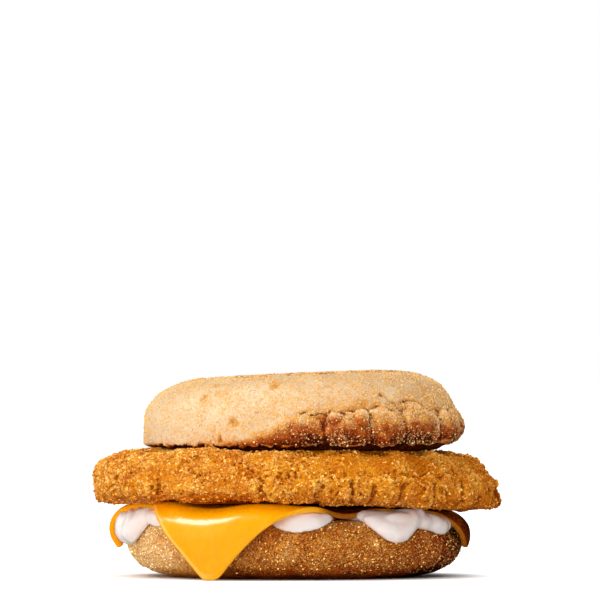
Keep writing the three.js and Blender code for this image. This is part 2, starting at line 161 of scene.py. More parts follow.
# Casts a skin onto a CAD node from a ring inside it: straight down, in a fan over the side, straight up.
# The fan lists the angles over the horizon where a stretch begins, with its number of rings.
def wrapNode(nodeName, skin):
    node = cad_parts[nodeName]
    corners = [node.matrix_world @ v.co for v in node.data.vertices]
    tree = BVHTree.FromPolygons(corners, [p.vertices[:] for p in node.data.polygons])
    below = np.linspace(0, skin["focusRadius"], skin["below"] + 1)[1:]
    above = np.linspace(skin["focusRadius"], 0, skin["above"] + 1)[:-1]
    starts = [start for start, _ in skin["fan"]] + [90]
    fan = [
        start + (end - start) * (step + 0.5) / count
        for (start, count), end in zip(skin["fan"], starts[1:])
        for step in range(count)
    ]
    stations = [(radius, -90) for radius in below]
    stations += [(skin["focusRadius"], angle) for angle in fan]
    stations += [(radius, 90) for radius in above]
    turns = np.radians(turnsRound(skin["turns"], skin["frontCrowding"]))
    grid = np.zeros((len(stations), len(turns), 3))
    for n, (radius, angle) in enumerate(stations):
        flat, up = math.cos(math.radians(angle)), math.sin(math.radians(angle))
        for m, turn in enumerate(turns):
            outX, outY = math.sin(turn), -math.cos(turn)
            start = Vector((skin["centreX"] + radius * outX, radius * outY, skin["focusHeight"]))
            hit = tree.ray_cast(start, Vector((outX * flat, outY * flat, up)))[0]
            grid[n, m] = hit if hit else start
    return grid


# Evens a skin, or values on it, out over its neighbours
def eased(grid, passes):
    grid = grid.copy()
    for _ in range(passes):
        grid = grid / 2 + (np.roll(grid, 1, axis=1) + np.roll(grid, -1, axis=1)) / 4
        grid[1:-1] = grid[1:-1] / 2 + (grid[2:] + grid[:-2]) / 4
    return grid


def skinNormals(grid):
    around = np.roll(grid, -1, axis=1) - np.roll(grid, 1, axis=1)
    along = np.gradient(grid, axis=0)
    normals = np.cross(around, along)
    return normals / np.linalg.norm(normals, axis=-1, keepdims=True)


# The eased skin of a node, with its normals, turns, radii and heights
def startSkin(nodeName, settings):
    grid = eased(wrapNode(nodeName, settings["skin"]), settings["easing"])
    turn, radius = turnAndRadius(grid, settings["skin"]["centreX"])
    return grid, skinNormals(grid), turn, radius, grid[..., 2]


# A skin raised along its normals, and how far each point then stands out from those around it
def raiseSkin(grid, normals, raised, settings):
    relief = (raised - eased(raised, settings["reliefBlur"])) / settings["reliefFull"]
    return grid + normals * raised[..., None], relief


def meshPiece(name, points, faces, smooth=True):
    mesh = bpy.data.meshes.new(name)
    mesh.from_pydata(points.tolist(), [], faces)
    mesh.update()
    if smooth:
        mesh.shade_smooth()
    piece = bpy.data.objects.new(name, mesh)
    bpy.context.collection.objects.link(piece)
    return piece


def storeValues(piece, values):
    for name, numbers in values.items():
        layer = piece.data.attributes.new(name, "FLOAT", "POINT")
        layer.data.foreach_set("value", np.asarray(numbers, dtype=np.float32).ravel())


# A closed mesh over a skin, with a middle point below and above, that carries the skin's values
def skinPiece(name, grid, values):
    rings, around = grid.shape[:2]
    points = np.vstack([grid.reshape(-1, 3), grid[0].mean(axis=0), grid[-1].mean(axis=0)])
    here = np.arange(around)
    beside = (here + 1) % around
    ring = np.arange(rings - 1)[:, None] * around
    quads = np.stack([ring + here, ring + beside, ring + around + beside, ring + around + here], axis=-1)
    lowest, highest, top = rings * around, rings * around + 1, (rings - 1) * around
    fans = [(lowest, int(b), int(a)) for a, b in zip(here, beside)]
    fans += [(highest, int(top + a), int(top + b)) for a, b in zip(here, beside)]
    piece = meshPiece(name, points, quads.reshape(-1, 4).tolist() + fans)
    storeValues(piece, {
        key: np.concatenate([value.ravel(), [value[0].mean(), value[-1].mean()]])
        for key, value in values.items()
    })
    return piece


chipUnevenness = (0.65, 1.25)  # how far a chip's corners lie in or out


# Many small chips as one mesh, lying on a skin. Chance says where.
def scatterChips(name, grid, chance, chips, browning):
    rings, around = grid.shape[:2]
    normals = skinNormals(grid)
    sides = np.roll(grid, -1, axis=1)
    areas = np.linalg.norm(np.cross(sides[:-1] - grid[:-1], grid[1:] - grid[:-1]), axis=-1)
    odds = (areas * np.clip(chance[:-1], 0, None)).ravel()
    spots = dice.choice(len(odds), size=chips["count"], p=odds / odds.sum())
    ring, turn = spots // around, spots % around
    beside = (turn + 1) % around
    u, v = dice.random(len(spots)), dice.random(len(spots))

    def between(values):
        if values.ndim == 3:
            a, b = u[:, None], v[:, None]
        else:
            a, b = u, v
        low = values[ring, turn] * (1 - a) + values[ring, beside] * a
        high = values[ring + 1, turn] * (1 - a) + values[ring + 1, beside] * a
        return low * (1 - b) + high * b

    up = between(normals) + dice.normal(0, chips["tilt"], (len(spots), 3))
    up /= np.linalg.norm(up, axis=1, keepdims=True)
    across = np.cross(up, dice.normal(0, 1, (len(spots), 3)))
    across /= np.linalg.norm(across, axis=1, keepdims=True)
    along = np.cross(up, across)
    smallest, largest = chips["size"]
    size = smallest + (largest - smallest) * dice.random(len(spots)) ** chips["fewLarge"]
    corners, faces = chips["form"]
    shape = corners[None] * dice.uniform(*chipUnevenness, (len(spots), len(corners), 1))
    stretch = np.stack([
        size / 2,
        size / 2 * dice.uniform(*chips["slimness"], len(spots)),
        size / 2 * dice.uniform(*chips["flatness"], len(spots)),
    ], axis=1)
    shape = shape * stretch[:, None]
    lift = (chips["lift"] * size)[:, None]
    points = (between(grid) + up * lift)[:, None]
    for axis, direction in enumerate((across, along, up)):
        points = points + shape[:, :, axis:axis + 1] * direction[:, None]
    first = (np.arange(len(spots)) * len(corners))[:, None, None]
    triangles = (first + faces[None]).reshape(-1, 3).tolist()
    piece = meshPiece(name, points.reshape(-1, 3), triangles, smooth=False)
    own = {"tone": dice.random(len(spots)) ** chips["fewBright"], "browning": between(browning)}
    storeValues(piece, {key: np.repeat(value, len(corners)) for key, value in own.items()})
    return piece


# Chip forms: a six-cornered grain, and a twelve-cornered crumb
grainForm = (
    np.array([(1, 0, 0), (0, 1, 0), (-1, 0, 0), (0, -1, 0), (0, 0, 1), (0, 0, -1)], dtype=float),
    np.array([(n, (n + 1) % 4, 4) for n in range(4)] + [((n + 1) % 4, n, 5) for n in range(4)]),
)


def crumbForm():
    golden = (1 + math.sqrt(5)) / 2
    edgeLength = 2.0
    corners = [(0, a, b * golden) for a in (-1, 1) for b in (-1, 1)]
    corners = np.array([np.roll(c, shift) for c in corners for shift in range(3)])
    faces = []
    for a, b, c in product(range(12), repeat=3):
        if a < b < c:
            edges = [np.linalg.norm(corners[p] - corners[q]) for p, q in ((a, b), (b, c), (a, c))]
            if max(edges) < 1.05 * edgeLength:
                outward = np.cross(corners[b] - corners[a], corners[c] - corners[a]) @ corners[a] > 0
                faces.append((a, b, c) if outward else (a, c, b))
    return corners / np.linalg.norm(corners[0]), np.array(faces)


# Shader helpers

black = (0, 0, 0, 1)


# Feeds a node's inputs, by name or number, with another node's output or a value
def feed(tree, node, wires):
    for key, value in wires.items():
        if isinstance(value, bpy.types.NodeSocket):
            tree.links.new(value, node.inputs[key])
        else:
            node.inputs[key].default_value = value
    return node


def put(tree, kind, wires=None, **choices):
    node = tree.nodes.new("ShaderNode" + kind)
    for key, value in choices.items():
        setattr(node, key, value)
    return feed(tree, node, wires or {})


def mixColours(tree, share, first, second, way="MIX"):
    wires = {0: share, 6: first, 7: second}  # a colour Mix has its colours on sockets 6 and 7
    return put(tree, "Mix", wires, data_type="RGBA", blend_type=way).outputs[2]


def maths(tree, way, first, second=0.0, clamped=False):
    return put(tree, "Math", {0: first, 1: second}, operation=way, use_clamp=clamped).outputs[0]


def times(tree, first, second):
    return maths(tree, "MULTIPLY", first, second)


def ranged(tree, value, fromLow, fromHigh, toLow=0.0, toHigh=1.0):
    wires = {"Value": value, "From Min": fromLow, "From Max": fromHigh, "To Min": toLow, "To Max": toHigh}
    return put(tree, "MapRange", wires, interpolation_type="SMOOTHSTEP").outputs[0]


def surfacePlace(tree):
    return put(tree, "TexCoord").outputs["Object"]


# Cloudy noise from about 0 to 1 over the surface
def clouds(tree, place, scale, detail):
    return put(tree, "TexNoise", {"Vector": place, "Scale": scale, "Detail": detail}).outputs["Fac"]


def skinValue(tree, name):
    return put(tree, "Attribute", attribute_name=name).outputs["Fac"]


# The linear colour of an sRGB colour from 0 to 255
def colour(red, green, blue):
    def linear(part):
        part /= 255
        return part / 12.92 if part <= 0.04045 else ((part + 0.055) / 1.055) ** 2.4
    return (linear(red), linear(green), linear(blue), 1)


def newGroup(name, inputs, outputs):
    group = bpy.data.node_groups.new(name, "ShaderNodeTree")
    for socketName, kind, value in inputs:
        socket = group.interface.new_socket(socketName, in_out="INPUT", socket_type="NodeSocket" + kind)
        if value is not None:
            socket.default_value = value
    for socketName, kind in outputs:
        group.interface.new_socket(socketName, in_out="OUTPUT", socket_type="NodeSocket" + kind)
    start = group.nodes.new("NodeGroupInput").outputs
    end = group.nodes.new("NodeGroupOutput").inputs
    return group, start, end


# Where each tone comes in, by browning or by relief
toneSteps = {
    "golden": (0.0, 0.4), "brown": (0.35, 0.75), "burnt": (0.72, 1.05),
    "pits": (-0.1, -1.0), "pitsTurnBrown": (0.12, 0.5),
    "peaks": (0.15, 1.1), "peaksFade": (0.8, 0.45),
}


# Colour of baked or fried dough: pale where raw, then golden, brown and burnt; darker in its pits and paler
# on its peaks, partly its own tone and partly painted shade and painted light
def bakedTonesGroup():
    tones = ("Pale", "Golden", "Brown", "Burnt", "Pale Pit", "Pit", "Peak")
    group, start, end = newGroup("bakedTones", [
        ("Browning", "Float", 0.0), ("Relief", "Float", 0.0), ("Pit Depth", "Float", 0.5),
        *((tone, "Color", black) for tone in tones),
    ], [("Color", "Color")])

    def step(socket, name):
        return ranged(group, start[socket], *toneSteps[name])

    tone = mixColours(group, step("Browning", "golden"), start["Pale"], start["Golden"])
    tone = mixColours(group, step("Browning", "brown"), tone, start["Brown"])
    tone = mixColours(group, step("Browning", "burnt"), tone, start["Burnt"])
    # Painted shade in the pits and painted light on the peaks, by relief
    inPit = times(group, step("Relief", "pits"), start["Pit Depth"])
    pit = mixColours(group, step("Browning", "pitsTurnBrown"), start["Pale Pit"], start["Pit"])
    tone = mixColours(group, inPit, tone, pit)
    onPeak = times(group, step("Relief", "peaks"), start["Pit Depth"])
    onPeak = times(group, onPeak, step("Browning", "peaksFade"))
    group.links.new(mixColours(group, onPeak, tone, start["Peak"]), end["Color"])
    return group


# How much coarser the drift is than the grains, and how far from its centre a grain turns into gap
fineGrains = {"driftShare": 0.7, "gap": (0.36, 0.64)}


# Grains too fine for the mesh: a tone of its own for each, the gaps between them, and their height; the
# crust paints the gaps darker as painted shade
def grainCoverGroup():
    group, start, end = newGroup("grainCover", [
        ("Place", "Vector", None), ("Grains per Metre", "Float", 1900.0), ("Warp", "Float", 0.3 * mm),
    ], [("Tone", "Float"), ("Gap", "Float"), ("Height", "Float")])
    place, perMetre = start["Place"], start["Grains per Metre"]
    coarser = times(group, perMetre, fineGrains["driftShare"])
    drift = put(group, "TexNoise", {"Vector": place, "Scale": coarser, "Detail": 2.0}).outputs["Color"]
    drift = put(group, "VectorMath", {0: drift, 1: (0.5, 0.5, 0.5)}, operation="SUBTRACT").outputs["Vector"]
    drift = put(group, "VectorMath", {0: drift, "Scale": start["Warp"]}, operation="SCALE").outputs["Vector"]
    drifted = put(group, "VectorMath", {0: place, 1: drift}, operation="ADD").outputs["Vector"]
    grains = put(group, "TexVoronoi", {"Vector": drifted, "Scale": perMetre}, feature="F1").outputs
    tone = put(group, "SeparateColor", {"Color": grains["Color"]}).outputs["Red"]
    gap = ranged(group, grains["Distance"], *fineGrains["gap"])
    group.links.new(tone, end["Tone"])
    group.links.new(gap, end["Gap"])
    group.links.new(maths(group, "SUBTRACT", 1.0, gap), end["Height"])
    return group


bakedTones = bakedTonesGroup()
grainCover = grainCoverGroup()


def newMaterial(name, plain):
    material = bpy.data.materials.new(name)
    material.use_nodes = True
    tree = material.node_tree
    return material, tree, feed(tree, tree.nodes["Principled BSDF"], plain)


def placeGroup(tree, group, wires):
    return put(tree, "Group", wires, node_tree=group).outputs


def bumps(tree, height, distance):
    wires = {"Height": height, "Distance": distance, "Strength": 1.0}
    return put(tree, "Bump", wires).outputs["Normal"]


# Crust of a muffin half or the coating of the patty, from its skin's browning and relief
def bakedMaterial(name, look):
    material, tree, shader = newMaterial(name, look["shader"])
    place, grain = surfacePlace(tree), look["grain"]
    cover = placeGroup(tree, grainCover, {
        "Place": place, "Grains per Metre": grain["perMetre"], "Warp": grain["warp"],
    })
    own = maths(tree, "SUBTRACT", cover["Tone"], 0.5)
    patches = clouds(tree, place, look["patches"]["scale"], 4.0)
    swing = times(tree, maths(tree, "SUBTRACT", patches, 0.5), look["patches"]["swing"])
    toast = maths(tree, "ADD", swing, times(tree, own, grain["toast"]))
    browning = maths(tree, "ADD", skinValue(tree, "browning"), toast)
    # The gaps between grains lower the relief, so that the pit tone paints shade into them
    sunk = times(tree, cover["Gap"], grain["gap"])
    fine = maths(tree, "SUBTRACT", times(tree, own, grain["light"]), sunk)
    coarse = times(tree, skinValue(tree, "relief"), look["reliefShare"])
    relief = maths(tree, "ADD", coarse, fine)
    tones = placeGroup(tree, bakedTones, {
        "Browning": browning, "Relief": relief, "Pit Depth": look["pitDepth"],
        **{key: colour(*tone) for key, tone in look["tones"].items()},
    })
    feed(tree, shader, {
        "Base Color": tones["Color"],
        "Roughness": ranged(tree, browning, 0.1, 0.9, *look["roughness"]),
        "Normal": bumps(tree, cover["Height"], grain["depth"]),
    })
    return material


chipTones = {"dustSwing": 0.6, "glintFrom": 0.7}


# Grains and crumbs: each chip has its own tone between two colours, browner where it lies on brown crust
def chipMaterial(name, look):
    material, tree, shader = newMaterial(name, look["shader"])
    dust = clouds(tree, surfacePlace(tree), look["dust"], 2.0)
    swing = times(tree, maths(tree, "SUBTRACT", dust, 0.5), chipTones["dustSwing"])
    own = maths(tree, "ADD", skinValue(tree, "tone"), swing, clamped=True)
    fresh = mixColours(tree, own, colour(*look["dull"]), colour(*look["bright"]))
    toasted = mixColours(tree, own, colour(*look["brownDull"]), colour(*look["brownBright"]))
    share = ranged(tree, skinValue(tree, "browning"), *look["turnsBrown"])
    tone = mixColours(tree, share, fresh, toasted)
    # Painted glint: the brightest chips glow by emission in their own tone
    glint = times(tree, ranged(tree, own, chipTones["glintFrom"], 1.0), look["glint"])
    feed(tree, shader, {
        "Base Color": tone, "Roughness": ranged(tree, own, 0.0, 1.0, *look["roughness"]),
        "Emission Color": mixColours(tree, glint, black, tone), "Emission Strength": 1.0,
    })
    return material


def finishPiece(piece, material, nodeName, replaces=True):
    piece.data.materials.append(material)
    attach(piece, "root")
    if replaces:
        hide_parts(nodeName)


# Patty

patty = {
    "skin": {
        "centreX": 0.0, "focusRadius": 46.5 * mm, "focusHeight": 28.2 * mm,
        "turns": 900, "frontCrowding": 0.3, "below": 5, "fan": [(-90, 10), (-52, 64), (52, 12)], "above": 14,
    },
    "easing": 16,
    "openFrom": (41.0 * mm, 44.5 * mm),  # the coating is pressed flat nearer the axis than this
    "layers": {  # width, depth and seed
        "swells": (13.0 * mm, 0.6 * mm, 9),
        "lumps": (6.5 * mm, 0.9 * mm, 1),
        "clusters": (3.0 * mm, 0.6 * mm, 2),
        "crumbs": (1.2 * mm, 0.34 * mm, 3),
        "specks": (0.7 * mm, 0.2 * mm, 4),
        "wideRidges": (2.8 * mm, 0.42 * mm, 5),
        "fineRidges": (1.2 * mm, 0.34 * mm, 8),
        "pits": (2.1 * mm, 0.7 * mm, 6),
    },
    "ridgeSharpness": 0.24,
    "mounds": {"least": 0.25, "reach": 0.85},
    "pitShape": {"above": 0.72, "reach": 0.45},  # only centres whose own number is above this are pits
    "warp": (1.6 * mm, 0.5 * mm, 7),
    "craggy": {"least": 0.45, "gain": 0.75, "patches": (6 * mm, 18, -0.5, 0.5)},
    "underneath": {"facing": (0.75, 0.98), "flatter": 0.5},
    "fills": [
        (-90, 22.3, 40, 2.6, 0.4), (-88, 35.0, 45, 3.5, -0.8), (84, 35.0, 40, 4.5, -0.9),
        (92, 26.5, 30, 3.0, 0.5), (80, 20.0, 32, 2.8, 1.0), (-27, 22.0, 34, 3.6, -1.1),
    ],
    # The lower half of the side swells out as a skirt. Turns say where it opens and closes.
    "skirt": {
        "turns": (-22, -6, 70, 86), "top": 28.2 * mm, "topWanders": (5 * mm, 1.1 * mm, 12),
        "shelf": 1.2 * mm, "bottom": (19.5 * mm, 23 * mm), "swell": 0.95 * mm,
    },
    # Valleys that run up through the skirt: turn, then half width, top height and depth in mm
    "valleys": [
        (-60, 2.08, 27.0, 0.9), (-44, 2.24, 28.0, 1.0), (-10, 1.92, 28.5, 1.3), (-1, 1.28, 25.5, 0.6),
        (7.3, 1.76, 28.0, 1.2), (17.1, 1.6, 28.0, 1.2), (23.4, 1.28, 27.0, 0.9), (32.6, 1.44, 27.0, 0.9),
        (44, 1.44, 27.0, 0.7), (56, 1.76, 27.5, 0.9), (65, 1.92, 28.0, 0.9),
    ],
    "valleysWander": (3.5 * mm, 0.9 * mm, 13),
    "valleyEnd": (0.5 * mm, -1.5 * mm),  # where a valley begins and is full, from its top height
    # Where wet batter shows between the crumbs
    "batter": {
        "turns": (-4, 8, 40, 52), "heights": (27.3 * mm, 29.9 * mm, 34.0 * mm, 36.6 * mm),
        "smooth": 0.72, "patches": (4.5 * mm, 11, -0.75, 0.1), "hidesCrags": 0.8, "hidesSpecks": 0.5,
    },
    "browning": {
        "plain": 0.46, "clouds": (6 * mm, 0.26, 15), "speckles": (1.7 * mm, 0.12, 16), "batter": 0.2,
        "downwards": [(0.32, 25 * mm, 21 * mm)], "rightwards": [(0.2, 56, 84)],
    },
    # Where crumbs and flakes lie: on what stands out, in patches, and above the underside
    "strewn": {
        "relief": (-0.8, 0.6), "least": 0.35, "patches": (3 * mm, 17, -0.5, 0.7),
        "heights": (19 * mm, 21 * mm),
    },
    "reliefBlur": 14,
    "reliefFull": 0.34 * mm,
    "crumbs": {
        "count": 9000, "size": (0.4 * mm, 1.3 * mm), "fewLarge": 2.2, "fewBright": 1.6,
        "slimness": (0.45, 0.9), "flatness": (0.35, 0.8), "tilt": 0.6, "lift": 0.05, "form": crumbForm(),
    },
    "flakes": {
        "count": 24000, "size": (0.45 * mm, 1.5 * mm), "fewLarge": 1.9, "fewBright": 1.6,
        "slimness": (0.22, 0.5), "flatness": (0.2, 0.45), "tilt": 0.55, "lift": 0.1, "form": grainForm,
    },
    "look": {
        "tones": {
            "Pale": (246, 182, 60), "Golden": (232, 150, 26), "Brown": (208, 114, 8), "Burnt": (150, 64, 2),
            "Pale Pit": (180, 94, 4), "Pit": (126, 48, 0), "Peak": (255, 210, 98),
        },
        "grain": {
            "perMetre": 1700.0, "warp": 0.5 * mm, "toast": 0.2, "gap": 0.4, "light": 0.7,
            "depth": 0.08 * mm,
        },
        "patches": {"scale": 90.0, "swing": 0.7},
        "reliefShare": 0.75,
        "pitDepth": 0.9,
        "roughness": (0.62, 0.42),
        "shader": {
            "Subsurface Weight": 0.1, "Subsurface Radius": (1, 0.4, 0.08), "Subsurface Scale": 1.2 * mm,
            "Specular IOR Level": 0.12,
        },
    },
    "crumbLook": {
        "dull": (222, 134, 18), "bright": (255, 222, 128), "glint": 0.3,
        "brownDull": (182, 84, 0), "brownBright": (255, 182, 58), "turnsBrown": (0.3, 0.75),
        "dust": 1800.0, "roughness": (0.45, 0.3),
        "shader": {"Specular IOR Level": 0.25},
    },
}


# How far the skirt stands out, with the valleys that run up through it
def pattySkirt(grid, turn, radius, height):
    skirt = patty["skirt"]
    shelfTop = skirt["top"] + noiseOf(grid * (1, 1, 0), skirt["topWanders"])
    below = ramp(height - shelfTop, skirt["shelf"] / 2, -skirt["shelf"] / 2)
    swell = skirt["swell"] * below * window(turn, *skirt["turns"]) * ramp(height, *skirt["bottom"])
    wander = noiseOf(grid, patty["valleysWander"])
    for where, halfWidth, top, depth in patty["valleys"]:
        across = np.radians(turn - where) * radius + wander
        upTo = ramp(height - top * mm, *patty["valleyEnd"])
        swell = swell - depth * mm * hump(across, halfWidth * mm) * upTo
    return swell


# The crags of the coating, less where wet batter smooths them
def pattyCrags(grid, smooth):
    layers, sharpness = patty["layers"], patty["ridgeSharpness"]
    width, shift, seed = patty["warp"]
    warped = grid + shift * np.stack([softNoise(grid, width, seed + n) for n in range(3)], axis=-1)
    crags = moundsOf(warped, layers["clusters"], **patty["mounds"])
    crags = crags + moundsOf(warped, layers["crumbs"], **patty["mounds"])
    crags = crags + ridgesOf(warped, layers["wideRidges"], sharpness)
    crags = crags + ridgesOf(warped, layers["fineRidges"], sharpness)
    width, depth, seed = layers["pits"]
    nearest, own = crumbCells(grid, width, seed)
    pits = depth * (own > patty["pitShape"]["above"]) * hump(nearest, patty["pitShape"]["reach"])
    batter, craggy = patty["batter"], patty["craggy"]
    fine = crags * (1 - batter["hidesCrags"] * smooth) - pits * (1 - smooth)
    fine = fine + noiseOf(warped, layers["specks"]) * (1 - batter["hidesSpecks"] * smooth)
    return fine * (craggy["least"] + craggy["gain"] * patchesOf(grid, craggy["patches"]))


def makePatty():
    grid, normals, turn, radius, height = startSkin("chicken_patty", patty)
    lumps = noiseOf(grid, patty["layers"]["lumps"]) + noiseOf(grid, patty["layers"]["swells"])
    lumps = lumps + fullness(turn, height, patty["fills"])
    batter = patty["batter"]
    smooth = window(turn, *batter["turns"]) * window(height, *batter["heights"])
    smooth = batter["smooth"] * smooth * patchesOf(grid, batter["patches"])
    openCoat = ramp(radius, *patty["openFrom"])
    fine = pattyCrags(grid, smooth)
    flatter = 1 - patty["underneath"]["flatter"] * ramp(-normals[..., 2], *patty["underneath"]["facing"])
    raised = openCoat * (lumps + pattySkirt(grid, turn, radius, height) + fine) * flatter
    raised = raised - openCoat * fine.mean()
    grid, relief = raiseSkin(grid, normals, raised, patty)

    tan = patty["browning"]
    browning = tan["plain"] + noiseOf(grid, tan["clouds"]) + noiseOf(grid, tan["speckles"])
    browning = browning + tan["batter"] * smooth
    # Darker towards the bottom and on the right: partly the frying, partly painted shade
    browning = browning + trends(height, tan["downwards"]) + trends(turn, tan["rightwards"])
    coating = skinPiece("pattyCoating", grid, {"browning": browning, "relief": relief})
    finishPiece(coating, bakedMaterial("friedCoating", patty["look"]), "chicken_patty")

    strewn = patty["strewn"]
    chance = openCoat * (1 - smooth) * ramp(relief, *strewn["relief"]) * ramp(height, *strewn["heights"])
    chance = chance * (strewn["least"] + patchesOf(grid, strewn["patches"]))
    crumbTone = chipMaterial("breadCrumbs", patty["crumbLook"])
    for name, chips in (("pattyCrumbs", patty["crumbs"]), ("pattyFlakes", patty["flakes"])):
        piece = scatterChips(name, grid, chance, chips, browning)
        finishPiece(piece, crumbTone, "chicken_patty", replaces=False)


# Upper muffin half

